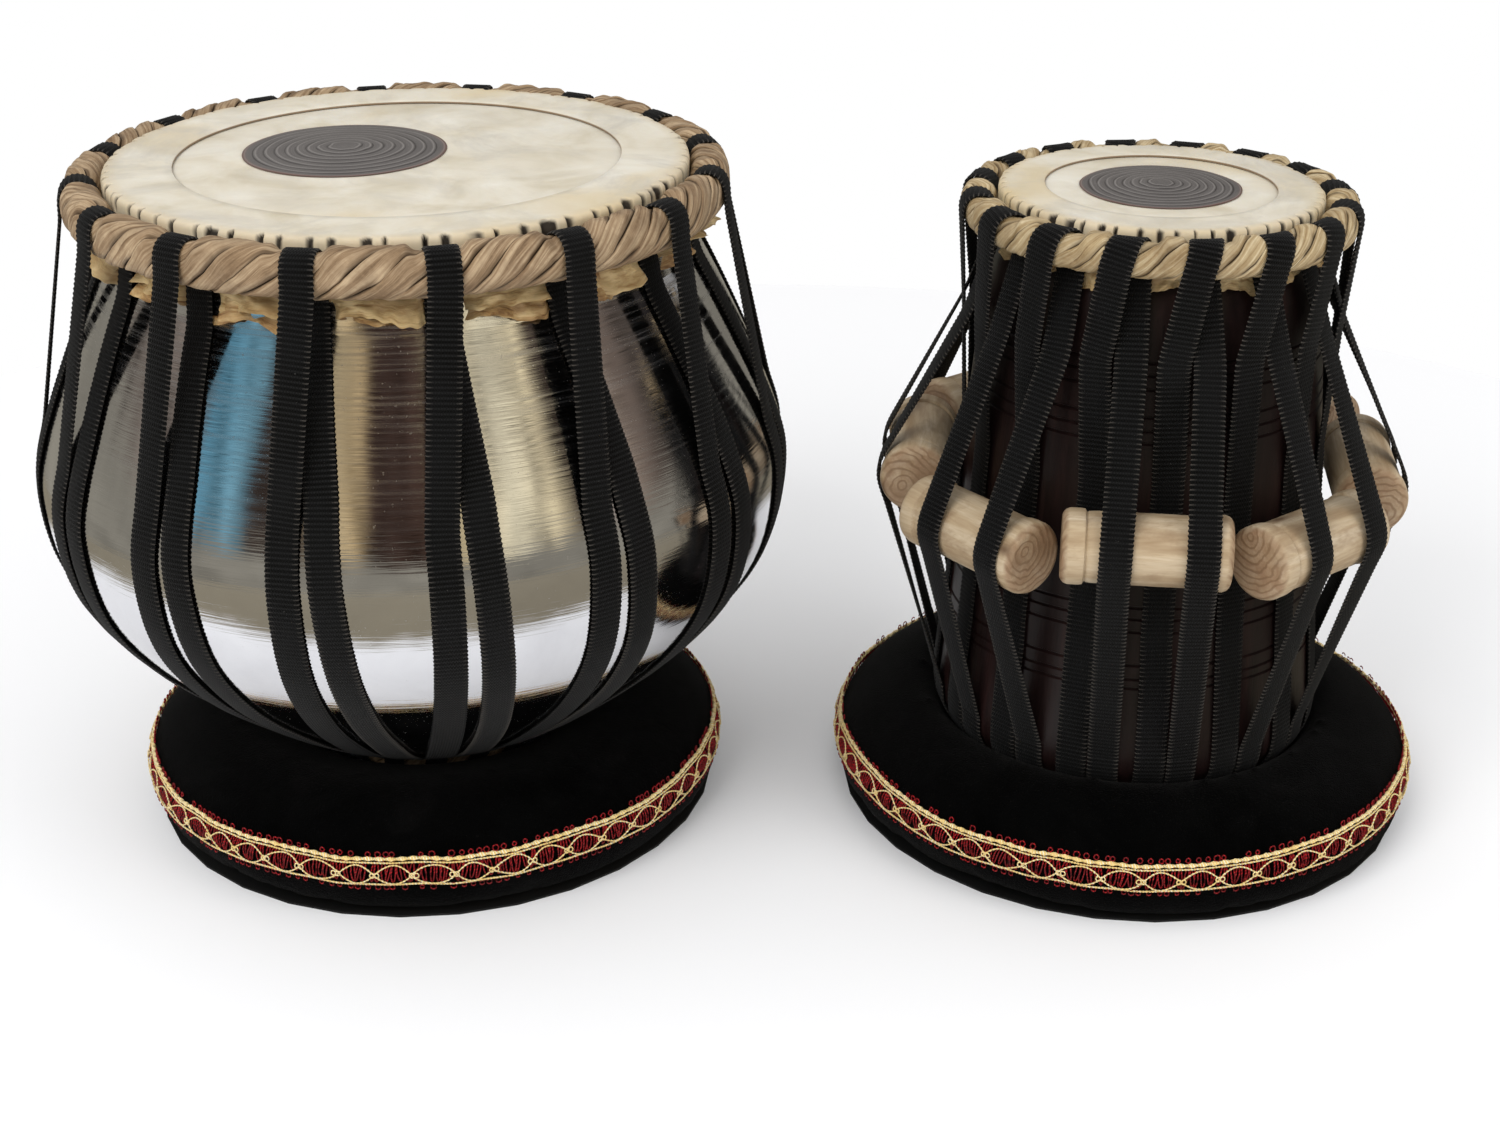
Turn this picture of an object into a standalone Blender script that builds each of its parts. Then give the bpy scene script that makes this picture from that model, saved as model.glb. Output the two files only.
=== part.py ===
"""A tabla: the metal bayan and the wooden dayan, each standing in its own ring cushion.

Metres, +Z up. The origin is on the floor, midway along the pair; +X runs from the bayan to the dayan.
"""

import math

import bmesh
import bpy
from mathutils import Vector

MM = 0.001

# The pair
DRUM_SPACING = 305 * MM
SEGMENTS = 32
LOOPS = 16

# Clearances between pieces that touch
GAP = 0.3 * MM
STRAP_GAP = 0.5 * MM
CUSHION_GAP = 0.9 * MM

# The webbing that laces each drum
STRAP_WIDTH = 12.7 * MM
STRAP_THICKNESS = 1.4 * MM

# Skins
LINING_THICKNESS = 0.6 * MM
LINING_WIDTH = 18 * MM
PLAYING_THICKNESS = 1.0 * MM
EDGE_THICKNESS = 0.8 * MM
PASTE_HEIGHT = 1.2 * MM
SKIRT_PAST_BRAID = 1.6 * MM

# Bayan, the metal drum
BAYAN_COLLAR_RADIUS = 113.6 * MM
BAYAN_RIM_HEIGHT = 278.6 * MM
BAYAN_COLLAR_LENGTH = 21.7 * MM
BAYAN_SIDE = [(131, 222), (149, 180), (154.2, 155), (148, 122), (126.5, 91), (94, 62), (69, 44.5)]
BAYAN_HEEL = [(50, 35), (30, 31)]
BAYAN_WALL = 2 * MM
BAYAN_EDGE_WIDTH = 27.4 * MM
BAYAN_PASTE_RADIUS = 40.9 * MM
BAYAN_PASTE_OFFSET = (-23.4 * MM, 8.6 * MM)
BAYAN_BRAID_WIDTH = 12.9 * MM
BAYAN_BRAID_HEIGHT = 17.4 * MM
BAYAN_RING_RADIUS = 40 * MM
BAYAN_RING_THICKNESS = 8 * MM
BAYAN_FIRST_LOOP = -7.6
BAYAN_BELLY_HEIGHT = 185 * MM

# Dayan, the wooden drum
DAYAN_COLLAR_RADIUS = 62.4 * MM
DAYAN_RIM_HEIGHT = 267 * MM
DAYAN_COLLAR_LENGTH = 19.7 * MM
DAYAN_SIDE = [(66.5, 238), (70, 210), (73.5, 170), (76, 120), (78, 92)]
DAYAN_HEEL = [(81.5, 52), (79, 40), (72, 31), (60, 26)]
DAYAN_WALL = 11 * MM
DAYAN_HOLLOW_FLOOR = 62 * MM
DAYAN_EDGE_WIDTH = 18.8 * MM
DAYAN_PASTE_RADIUS = 32 * MM
DAYAN_BRAID_WIDTH = 11.2 * MM
DAYAN_BRAID_HEIGHT = 14.2 * MM
DAYAN_RING_RADIUS = 45 * MM
DAYAN_RING_THICKNESS = 7 * MM
DAYAN_FIRST_LOOP = 4.6

# Tuning blocks, wedged between the straps and the dayan's side
BLOCKS = 8
BLOCK_DIAMETER = 30 * MM
BLOCK_LENGTH = 65 * MM
BLOCK_CHAMFER = 3.5 * MM
BLOCK_SIDES = 12
BLOCK_HEIGHTS = [151.5, 145.5, 150, 153, 152, 151, 150, 142.5]
FIRST_BLOCK = -6.65
BLOCK_PLAY = 0.7 * MM
OVER_STRAP_PLACES = (-12 * MM, 21 * MM)

# Ring cushions
CUSHION_RADIUS = 125.4 * MM
CUSHION_HOLE_RADIUS = 54 * MM
CUSHION_SIDE_HEIGHT = 29 * MM
CUSHION_TUCK = 3 * MM
CUSHION_CROWN_RADIUS = 88 * MM
CUSHION_CROWN_HEIGHT = 45.5 * MM
COVER_THICKNESS = 1.2 * MM
BASE_CLOTH_THICKNESS = 1.0 * MM
TRIM_THICKNESS = 1.3 * MM
TRIM_LOW = 17 * MM


def metres(points):
    return [(r * MM, z * MM) for r, z in points]


def material(name, colour, roughness, metallic=0.0):
    made = bpy.data.materials.new(name)
    made.use_nodes = True
    shader = made.node_tree.nodes["Principled BSDF"]
    shader.inputs["Base Color"].default_value = (*colour, 1)
    shader.inputs["Roughness"].default_value = roughness
    shader.inputs["Metallic"].default_value = metallic
    return made


def finish(mesh_data, name, finish_material, parent=None, place=(0, 0, 0), sharp=40):
    """Makes the object of a bmesh, faces outwards, smooth where it is round."""
    bmesh.ops.remove_doubles(mesh_data, verts=mesh_data.verts, dist=1e-6)
    bmesh.ops.recalc_face_normals(mesh_data, faces=mesh_data.faces)
    mesh = bpy.data.meshes.new(name)
    mesh_data.to_mesh(mesh)
    mesh_data.free()
    mesh.shade_smooth()
    mesh.set_sharp_from_angle(angle=math.radians(sharp))
    mesh.materials.append(finish_material)
    made = bpy.data.objects.new(name, mesh)
    bpy.context.scene.collection.objects.link(made)
    made.location = place
    made.parent = parent
    return made


def drum_centre(name, x):
    """The empty on a drum's axis, at the floor, that its pieces hang from."""
    centre = bpy.data.objects.new(name, None)
    bpy.context.scene.collection.objects.link(centre)
    centre.location = (x, 0, 0)
    return centre


def offset(points, distance):
    """An outline moved sideways, to its left as it is walked."""
    moved = []
    for i, (r, z) in enumerate(points):
        before = Vector(points[max(i - 1, 0)])
        after = Vector(points[min(i + 1, len(points) - 1)])
        along = (after - before).normalized()
        moved.append((r - along.y * distance, z + along.x * distance))
    return moved


def turned(name, outline, finish_material, parent, place=(0, 0, 0), segments=SEGMENTS):
    """A closed (radius, height) outline spun about the vertical."""
    shape = bmesh.new()
    points = [shape.verts.new((r, 0, z)) for r, z in outline]
    edges = []
    for a, b in zip(points, points[1:] + points[:1]):
        if a.co.x > 0 or b.co.x > 0:
            edges.append(shape.edges.new((a, b)))
    bmesh.ops.spin(
        shape,
        geom=points + edges,
        cent=(0, 0, 0),
        axis=(0, 0, 1),
        angle=math.tau,
        steps=segments,
        use_merge=True,
    )
    return finish(shape, name, finish_material, parent, place)


def ring_outline(radius, height, half_width, half_height, sides):
    """The oval section of a ring, walked anticlockwise."""
    outline = []
    for i in range(sides):
        turn = math.tau * i / sides
        outline.append((radius + half_width * math.cos(turn), height + half_height * math.sin(turn)))
    return outline


def station(azimuth, radius, height):
    """A point of a strap and the way its width lies; azimuth 0 faces -Y and grows towards +X."""
    turn = math.radians(azimuth)
    place = Vector((radius * math.sin(turn), -radius * math.cos(turn), height))
    return place, Vector((math.cos(turn), math.sin(turn), 0))


def ribbon(name, stations, finish_material, parent):
    """One endless flat band through the stations, narrower where the band's neighbours crowd it."""
    shape = bmesh.new()
    rings = []
    for i, (place, across) in enumerate(stations):
        before = (place - stations[i - 1][0]).normalized()
        after = (stations[(i + 1) % len(stations)][0] - place).normalized()
        along = (before + after).normalized()
        up = along.cross(across).normalized()
        thick = STRAP_THICKNESS / 2 / max(along.dot(after), 0.8)
        radius = math.hypot(place.x, place.y)
        wide = min(STRAP_WIDTH, math.tau * radius / LOOPS / 2 - STRAP_GAP) / 2
        ring = []
        for side, face in ((-1, -1), (1, -1), (1, 1), (-1, 1)):
            ring.append(shape.verts.new(place + across * side * wide + up * face * thick))
        rings.append(ring)
    for ring, following in zip(rings, rings[1:] + rings[:1]):
        for i in range(4):
            shape.faces.new((ring[i], ring[(i + 1) % 4], following[(i + 1) % 4], following[i]))
    return finish(shape, name, finish_material, parent, sharp=30)


class Drum:
    """What both drums have: the stack of skins on the rim, the braid round it and the ring below."""

    def __init__(self, name, collar_radius, rim_height, braid_width, braid_height):
        self.name = name
        self.collar = collar_radius
        self.lining_low = rim_height + GAP
        self.playing_low = self.lining_low + LINING_THICKNESS + GAP
        self.edge_low = self.playing_low + PLAYING_THICKNESS + GAP
        self.top = self.edge_low + EDGE_THICKNESS
        self.playing_radius = collar_radius + GAP + PLAYING_THICKNESS
        self.skin_radius = self.playing_radius + GAP + EDGE_THICKNESS
        self.slit = self.skin_radius + STRAP_GAP + STRAP_THICKNESS / 2
        slit_reach = math.hypot(self.slit + STRAP_THICKNESS / 2, STRAP_WIDTH / 2) + GAP
        self.braid_inner = slit_reach / math.cos(math.pi / SEGMENTS)
        self.braid_half_width = braid_width / 2
        self.braid_half_height = braid_height / 2
        self.braid_radius = self.braid_inner + self.braid_half_width
        self.braid_height = self.top - GAP - self.braid_half_height - STRAP_THICKNESS - STRAP_GAP
        self.skirt_low = self.braid_height - self.braid_half_height - SKIRT_PAST_BRAID

    def strap_standoff(self):
        return STRAP_GAP + STRAP_THICKNESS / 2

    def over_braid(self, azimuths):
        """The strap's way up the braid's outside, over it and down the slit behind it."""
        outer, inner = azimuths
        half_width = self.braid_half_width + self.strap_standoff()
        half_height = self.braid_half_height + self.strap_standoff()
        corner = math.sqrt(0.5) / math.cos(math.pi / 8)
        radius, height = self.braid_radius, self.braid_height
        return [
            station(outer, radius + half_width, height),
            station(outer, radius + half_width * corner, height + half_height * corner),
            station((outer + inner) / 2, radius, height + half_height),
            station(inner, radius - half_width * corner, height + half_height * corner),
            station(inner, self.slit, height),
            station(inner, self.slit, self.skirt_low - GAP),
        ]

    def add_head(self, parent, edge_width, paste_radius, paste_place, looks):
        name = self.name
        lining_outer = self.collar
        lining_top = self.lining_low + LINING_THICKNESS
        lining = [
            (lining_outer - LINING_WIDTH, self.lining_low),
            (lining_outer, self.lining_low),
            (lining_outer, lining_top),
            (lining_outer - LINING_WIDTH, lining_top),
        ]
        turned(name + "_lining_skin", lining, looks["skin"], parent)

        playing_top = self.playing_low + PLAYING_THICKNESS
        playing = [
            (0, self.playing_low),
            (self.collar + GAP, self.playing_low),
            (self.collar + GAP, self.skirt_low),
            (self.playing_radius, self.skirt_low),
            (self.playing_radius, playing_top),
            (0, playing_top),
        ]
        turned(name + "_playing_skin", playing, looks["skin"], parent)

        edge_inner = self.skin_radius - edge_width
        edge = [
            (edge_inner, self.edge_low),
            (self.playing_radius + GAP, self.edge_low),
            (self.playing_radius + GAP, self.skirt_low),
            (self.skin_radius, self.skirt_low),
            (self.skin_radius, self.top),
            (edge_inner, self.top),
        ]
        turned(name + "_edge_skin", edge, looks["edge"], parent)

        paste_low = playing_top + GAP
        paste = [
            (0, paste_low),
            (paste_radius, paste_low),
            (paste_radius - PASTE_HEIGHT / 2, paste_low + PASTE_HEIGHT * 0.6),
            (0, paste_low + PASTE_HEIGHT),
        ]
        place = (*paste_place, 0)
        turned(name + "_black_paste", paste, looks["paste"], parent, place)

    def add_braid(self, parent, look):
        section = ring_outline(
            self.braid_radius, self.braid_height, self.braid_half_width, self.braid_half_height, 8
        )
        turned(self.name + "_braid", section, look, parent)


class BottomRing:
    """The ring under a drum that the strap turns round, held just below the shell."""

    def __init__(self, radius, thickness, shell_height):
        self.radius = radius
        self.half = thickness / 2
        self.strap_above = shell_height - STRAP_GAP - STRAP_THICKNESS / 2
        self.height = self.strap_above - STRAP_THICKNESS / 2 - STRAP_GAP - self.half
        self.reach = self.half + STRAP_GAP + STRAP_THICKNESS / 2
        self.lowest = self.height - self.reach - STRAP_THICKNESS / 2

    def beside(self, azimuth, turn):
        """A station round the ring; turn 0 is its outer side and 90 its top."""
        angle = math.radians(turn)
        corner = self.reach / math.cos(math.pi / 8)
        return station(azimuth, self.radius + corner * math.cos(angle), self.height + corner * math.sin(angle))

    def way_out(self, azimuth):
        """From under the ring outwards, the start of a strap's way up."""
        return [station(azimuth, self.radius, self.height - self.reach), self.beside(azimuth + 1, -45)]

    def way_in(self, azimuth):
        """Over the ring and down inside it, the end of a strap's way down."""
        over = station(azimuth, self.radius, self.strap_above)
        return [over, *[self.beside(azimuth, turn) for turn in (135, 180, 225)]]

    def add(self, name, look, parent):
        section = ring_outline(self.radius, self.height, self.half, self.half, 6)
        turned(name, section, look, parent)


def bayan_ring():
    """Hangs under the curved base, where the shell is lowest over the ring."""
    under = min(z for r, z in bayan_shell_curve())
    return BottomRing(BAYAN_RING_RADIUS, BAYAN_RING_THICKNESS, under)


def dayan_ring():
    under = dayan_shell_curve()[-1][1]
    return BottomRing(DAYAN_RING_RADIUS, DAYAN_RING_THICKNESS, under)


def loop_azimuths(first):
    return [first + 360 / LOOPS * i for i in range(LOOPS)]


def bayan_shell_curve():
    collar_end = (BAYAN_COLLAR_RADIUS, BAYAN_RIM_HEIGHT - BAYAN_COLLAR_LENGTH)
    return [(BAYAN_COLLAR_RADIUS, BAYAN_RIM_HEIGHT), collar_end, *metres(BAYAN_SIDE + BAYAN_HEEL)]


def dayan_shell_curve():
    collar_end = (DAYAN_COLLAR_RADIUS, DAYAN_RIM_HEIGHT - DAYAN_COLLAR_LENGTH)
    return [(DAYAN_COLLAR_RADIUS, DAYAN_RIM_HEIGHT), collar_end, *metres(DAYAN_SIDE + DAYAN_HEEL)]


def bayan_strap(drum, ring, parent, look):
    """Each loop goes up off the shell to the braid, and comes back down against the shell."""
    lane = offset(bayan_shell_curve(), drum.strap_standoff())
    lane = [(r, z) for r, z in lane if z < drum.skirt_low - 3 * STRAP_THICKNESS and r > ring.radius + ring.half]
    half_pitch = 180 / LOOPS

    def swing(radius, height):
        """How far to its own side of the loop's middle a run lies, in degrees."""
        if height > BAYAN_BELLY_HEIGHT:
            top = drum.skirt_low
            return 2.6 * min(1, (top - height) / (top - BAYAN_BELLY_HEIGHT) * 1.6)
        side_by_side = math.degrees((STRAP_WIDTH / 2 + STRAP_GAP) / radius)
        return min(max(2.6, side_by_side), half_pitch / 2)

    stations = []
    for middle in loop_azimuths(BAYAN_FIRST_LOOP):
        stations += ring.way_out(middle - half_pitch)
        for radius, height in reversed(lane):
            if height < BAYAN_BELLY_HEIGHT:
                stations.append(station(middle - swing(radius, height), radius, height))
        stations += drum.over_braid((middle, middle))
        for radius, height in lane:
            stations.append(station(middle + swing(radius, height), radius, height))
        stations += ring.way_in(middle + half_pitch)
    ribbon("bayan_strap", stations, look, parent)


def block_radius():
    """How far a block's axis is from the drum's, so that the strap behind the block stays free."""
    side = dict((z, r) for r, z in metres(DAYAN_SIDE))
    high, low = 170 * MM, 120 * MM
    shell = (side[high] + side[low]) / 2
    strap_reach = math.hypot(shell + STRAP_GAP + STRAP_THICKNESS, STRAP_WIDTH / 2)
    return strap_reach + BLOCK_PLAY + BLOCK_DIAMETER / 2


def dayan_strap(drum, ring, parent, look):
    """Each loop goes up behind a block to the braid, and comes back down over a block."""
    lane = offset(dayan_shell_curve(), drum.strap_standoff())
    low_lane = [(r, z) for r, z in lane if z < 95 * MM and r > ring.radius + ring.half]
    behind_block = [(r, z) for r, z in lane if 95 * MM < z < 171 * MM]
    half_pitch = 180 / LOOPS
    crossing_height = 224 * MM
    crossing_swing = 5.4
    crossing_radius = (drum.braid_radius + drum.braid_half_width + behind_block[0][0]) / 2
    bulge = BLOCK_DIAMETER / 2 + STRAP_GAP + STRAP_THICKNESS / 2 + BLOCK_PLAY
    bulge_turns = (24, 0, -24)

    def swing(radius):
        side_by_side = math.degrees((STRAP_WIDTH / 2 + STRAP_GAP / 2) / radius)
        return min(side_by_side, half_pitch / 2)

    def over_block(number, place_on_block):
        """The stations round the outside of a block, with the width along the block."""
        centre, along = station(FIRST_BLOCK + 45 * number, block_radius(), BLOCK_HEIGHTS[number] * MM)
        outward = Vector((along.y, -along.x, 0))
        found = []
        for turn in bulge_turns:
            angle = math.radians(turn)
            out = outward * bulge * math.cos(angle) + Vector((0, 0, bulge * math.sin(angle)))
            found.append((centre + out + along * place_on_block, along))
        return found

    stations = []
    for number, middle in enumerate(loop_azimuths(DAYAN_FIRST_LOOP)):
        block = (number + 1) // 2 % BLOCKS
        place_on_block = OVER_STRAP_PLACES[(number + 1) % 2]
        stations += ring.way_out(middle - half_pitch)
        for radius, height in reversed(low_lane):
            stations.append(station(middle - swing(radius), radius, height))
        for radius, height in reversed(behind_block):
            stations.append(station(middle - 3.5, radius, height))
        stations.append(station(middle - crossing_swing, crossing_radius, crossing_height))
        stations += drum.over_braid((middle - 2.5, middle + 2.5))
        stations.append(station(middle + crossing_swing, crossing_radius, crossing_height))
        stations += over_block(block, place_on_block)
        for radius, height in low_lane:
            stations.append(station(middle + swing(radius), radius, height))
        stations += ring.way_in(middle + half_pitch)
    ribbon("dayan_strap", stations, look, parent)


def add_bayan(looks):
    centre = drum_centre("bayan_axis", BAYAN_X)
    drum = Drum("bayan", BAYAN_COLLAR_RADIUS, BAYAN_RIM_HEIGHT, BAYAN_BRAID_WIDTH, BAYAN_BRAID_HEIGHT)
    outside = bayan_shell_curve()
    inside = offset(outside, -BAYAN_WALL)
    inside[0] = (BAYAN_COLLAR_RADIUS - BAYAN_WALL, BAYAN_RIM_HEIGHT)
    base = outside[-1][1]
    shell = [*outside, (0, base), (0, inside[-1][1]), *reversed(inside)]
    turned("bayan_metal_shell", shell, looks["metal"], centre)
    drum.add_head(centre, BAYAN_EDGE_WIDTH, BAYAN_PASTE_RADIUS, BAYAN_PASTE_OFFSET, looks)
    drum.add_braid(centre, looks["bayan_braid"])
    ring = bayan_ring()
    ring.add("bayan_bottom_ring", looks["bayan_braid"], centre)
    bayan_strap(drum, ring, centre, looks["strap"])


def add_dayan(looks):
    centre = drum_centre("dayan_axis", DAYAN_X)
    drum = Drum("dayan", DAYAN_COLLAR_RADIUS, DAYAN_RIM_HEIGHT, DAYAN_BRAID_WIDTH, DAYAN_BRAID_HEIGHT)
    outside = dayan_shell_curve()
    base = outside[-1][1]
    inside = offset([(r, z) for r, z in outside if z > DAYAN_HOLLOW_FLOOR], -DAYAN_WALL)
    inside[0] = (DAYAN_COLLAR_RADIUS - DAYAN_WALL, DAYAN_RIM_HEIGHT)
    shell = [*outside, (0, base), (0, inside[-1][1]), *reversed(inside)]
    turned("dayan_wooden_shell", shell, looks["wood"], centre)
    drum.add_head(centre, DAYAN_EDGE_WIDTH, DAYAN_PASTE_RADIUS, (0, 0), looks)
    drum.add_braid(centre, looks["dayan_braid"])
    ring = dayan_ring()
    ring.add("dayan_bottom_ring", looks["dayan_braid"], centre)
    dayan_strap(drum, ring, centre, looks["strap"])
    for number in range(BLOCKS):
        add_block(number, centre, looks["block"])


def add_block(number, parent, look):
    """A wooden roller lying along the drum's side, chamfered at both ends."""
    half = BLOCK_LENGTH / 2
    radius = BLOCK_DIAMETER / 2
    outline = [
        (0, -half),
        (radius - BLOCK_CHAMFER, -half),
        (radius, -half + BLOCK_CHAMFER),
        (radius, half - BLOCK_CHAMFER),
        (radius - BLOCK_CHAMFER, half),
        (0, half),
    ]
    place, along = station(FIRST_BLOCK + 45 * number, block_radius(), BLOCK_HEIGHTS[number] * MM)
    block = turned(f"tuning_block_{number + 1}", outline, look, parent, place, BLOCK_SIDES)
    block.rotation_mode = "QUATERNION"
    block.rotation_quaternion = along.to_track_quat("Z", "Y")


def cushion_seat(shell):
    """Where a drum and its straps bear on the cushion, from the crown down to the hole."""
    reach = STRAP_GAP + STRAP_THICKNESS + CUSHION_GAP
    low = [(r, z) for r, z in offset(shell, reach) if z < CUSHION_CROWN_HEIGHT - 3 * MM]
    return [(r, z) for r, z in low if r > CUSHION_HOLE_RADIUS + 6 * MM]


def add_cushion(name, x, ring_low, shell, looks):
    """A flat base cloth, a padded ring, its velvet cover and the trimming round its side."""
    centre = drum_centre(name + "_cushion_centre", x)
    low = BASE_CLOTH_THICKNESS + GAP
    side = CUSHION_SIDE_HEIGHT
    radius = CUSHION_RADIUS
    hole = CUSHION_HOLE_RADIUS
    rise = CUSHION_CROWN_HEIGHT - side
    run = radius - CUSHION_CROWN_RADIUS
    hole_top = ring_low - CUSHION_GAP
    outside = [
        (radius - CUSHION_TUCK, low),
        (radius, side * 0.3),
        (radius, side * 0.75),
        (radius - CUSHION_TUCK, side),
        (radius - run * 0.6, side + rise * 0.7),
        (CUSHION_CROWN_RADIUS, CUSHION_CROWN_HEIGHT),
        *cushion_seat(shell),
        (hole, hole_top),
        (hole, low),
    ]
    inside = offset(outside, COVER_THICKNESS)
    inside[0] = (inside[0][0], low)
    inside[-1] = (inside[-1][0], low)
    turned(name + "_cushion_cover", [*outside, *reversed(inside)], looks["velvet"], centre)

    filling = offset(outside, COVER_THICKNESS + GAP)
    filling[0] = (filling[0][0], low)
    filling[-1] = (filling[-1][0], low)
    turned(name + "_cushion_filling", filling, looks["filling"], centre)

    base = [
        (hole, 0),
        (radius - CUSHION_TUCK, 0),
        (radius - CUSHION_TUCK, BASE_CLOTH_THICKNESS),
        (hole, BASE_CLOTH_THICKNESS),
    ]
    turned(name + "_cushion_base_cloth", base, looks["base_cloth"], centre)

    band = [
        (radius + GAP, TRIM_LOW),
        (radius + GAP + TRIM_THICKNESS, TRIM_LOW),
        (radius + GAP + TRIM_THICKNESS, side),
        (radius + GAP, side),
    ]
    turned(name + "_cushion_trim", band, looks["trim"], centre)


def make_looks():
    return {
        "metal": material("polished_metal", (0.78, 0.76, 0.72), 0.12, 1.0),
        "wood": material("dark_wood", (0.035, 0.014, 0.011), 0.45),
        "skin": material("goat_skin", (0.78, 0.70, 0.52), 0.55),
        "edge": material("edge_skin", (0.80, 0.72, 0.55), 0.5),
        "paste": material("black_paste", (0.03, 0.028, 0.027), 0.6),
        "bayan_braid": material("brown_hide", (0.33, 0.22, 0.12), 0.6),
        "dayan_braid": material("tan_hide", (0.48, 0.35, 0.19), 0.6),
        "strap": material("black_webbing", (0.012, 0.012, 0.013), 0.85),
        "block": material("pale_wood", (0.62, 0.45, 0.27), 0.6),
        "velvet": material("black_velvet", (0.004, 0.004, 0.004), 0.95),
        "filling": material("cotton_filling", (0.72, 0.69, 0.62), 0.95),
        "base_cloth": material("black_cloth", (0.01, 0.01, 0.011), 0.9),
        "trim": material("gold_and_red_lace", (0.45, 0.16, 0.06), 0.5, 0.3),
    }


def main():
    for old in list(bpy.data.objects):
        bpy.data.objects.remove(old, do_unlink=True)
    looks = make_looks()
    add_bayan(looks)
    add_dayan(looks)
    add_cushion("bayan", BAYAN_X, bayan_ring().lowest, bayan_shell_curve(), looks)
    add_cushion("dayan", DAYAN_X, dayan_ring().lowest, dayan_shell_curve(), looks)


# The pair is centred on the origin: the bayan's strapped belly is one end and the dayan's cushion the other
BELLY_REACH = max(r for r, z in bayan_shell_curve()) + STRAP_GAP + STRAP_THICKNESS
CUSHION_REACH = CUSHION_RADIUS + GAP + TRIM_THICKNESS
BAYAN_X = BELLY_REACH - (BELLY_REACH + DRUM_SPACING + CUSHION_REACH) / 2
DAYAN_X = BAYAN_X + DRUM_SPACING

main()
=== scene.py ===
"""The finished look of a tabla: a metal bayan and a wooden dayan on their ring cushions.

Everything is in metres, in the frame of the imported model. Azimuth 0 on a drum faces -Y and grows towards +X.
"""

import math

import bpy
import numpy as np
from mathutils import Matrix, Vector


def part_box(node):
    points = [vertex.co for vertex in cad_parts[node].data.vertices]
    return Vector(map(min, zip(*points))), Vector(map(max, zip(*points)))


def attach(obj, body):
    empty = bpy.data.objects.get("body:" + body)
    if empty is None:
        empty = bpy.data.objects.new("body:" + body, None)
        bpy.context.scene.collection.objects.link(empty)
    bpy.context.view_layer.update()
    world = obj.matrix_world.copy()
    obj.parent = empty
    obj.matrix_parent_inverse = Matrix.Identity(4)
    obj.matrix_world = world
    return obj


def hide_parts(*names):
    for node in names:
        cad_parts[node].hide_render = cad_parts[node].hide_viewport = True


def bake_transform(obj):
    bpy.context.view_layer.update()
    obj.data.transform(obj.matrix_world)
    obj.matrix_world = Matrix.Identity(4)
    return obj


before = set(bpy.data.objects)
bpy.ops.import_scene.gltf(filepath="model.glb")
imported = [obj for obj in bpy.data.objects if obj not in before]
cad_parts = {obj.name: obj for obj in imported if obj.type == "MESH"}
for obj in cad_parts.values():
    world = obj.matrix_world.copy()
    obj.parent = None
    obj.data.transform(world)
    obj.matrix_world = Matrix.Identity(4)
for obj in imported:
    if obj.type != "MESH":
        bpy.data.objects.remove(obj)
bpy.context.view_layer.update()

MM = 0.001
TURN = math.tau

# Webbing
STRAP_WIDTH = 12.7 * MM
STRAP_THICKNESS = 1.4 * MM
STRAP_GAP = 0.5 * MM
RIB_PITCH = 1.9 * MM
LOOPS = 16
LOOP_STEP = 360 / LOOPS

# Shell outlines, radius and height in millimetres, from the collar down
BAYAN_SIDE = [(113.6, 256.9), (131, 222), (149, 180), (154.2, 155), (148, 122), (126.5, 91), (94, 62)]
BAYAN_SIDE += [(69, 44.5)]
BAYAN_HEEL = [(50, 35), (30, 31)]
DAYAN_SIDE = [(62.4, 247.3), (66.5, 238), (70, 210), (73.5, 170), (76, 120), (78, 92)]
DAYAN_HEEL = [(81.5, 52), (79, 40), (72, 31), (60, 26)]
BAYAN_FIRST_LOOP = -7.6
DAYAN_FIRST_LOOP = 4.6
SCRIBED_LINES = [219, 214, 208.5, 197.5, 192, 187, 118, 113, 107.5, 93, 87, 83]

# Tuning blocks
FIRST_BLOCK = -6.65
OVER_STRAP_PLACES = (-12 * MM, 21 * MM)

# Braids: how far out each place across a strip stands, and how square the whole ring is (2 is round)
STRIP_PROFILE = [(0, 0.0), (0.03, 0.66), (0.08, 0.95), (0.18, 1.0), (0.32, 0.98), (0.48, 0.92), (0.64, 0.84)]
STRIP_PROFILE += [(0.80, 0.72), (0.92, 0.56), (0.975, 0.36)]
SQUARENESS = 2.45
BRAID_LIFT = 2.2 * MM

# Cushions
CUSHION_RADIUS = 125.4 * MM
CUSHION_HOLE_RADIUS = 54 * MM
CUSHION_SIDE_HEIGHT = 29 * MM
CUSHION_CROWN_HEIGHT = 45.5 * MM
CLOTH_FRAMES = 20
CLOTH_PRESSURE = 4.0
CLOTH_CELL = 4.5 * MM
MOST_SWELL = 6 * MM

# Trimming: the lace pattern's middle height, and how often each part repeats round a cushion
LACE_MIDDLE = 22.6
DIAMONDS = 50
RED_LOOPS = 330
PICOTS = 210

# Camera
CAMERA_PLACE = (0.0125, -0.8692, 0.5109)
CAMERA_TURN = (math.radians(64.8), 0, 0.0117)
CAMERA_LENS = 53.1


# ---------------------------------------------------------------- measures


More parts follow.
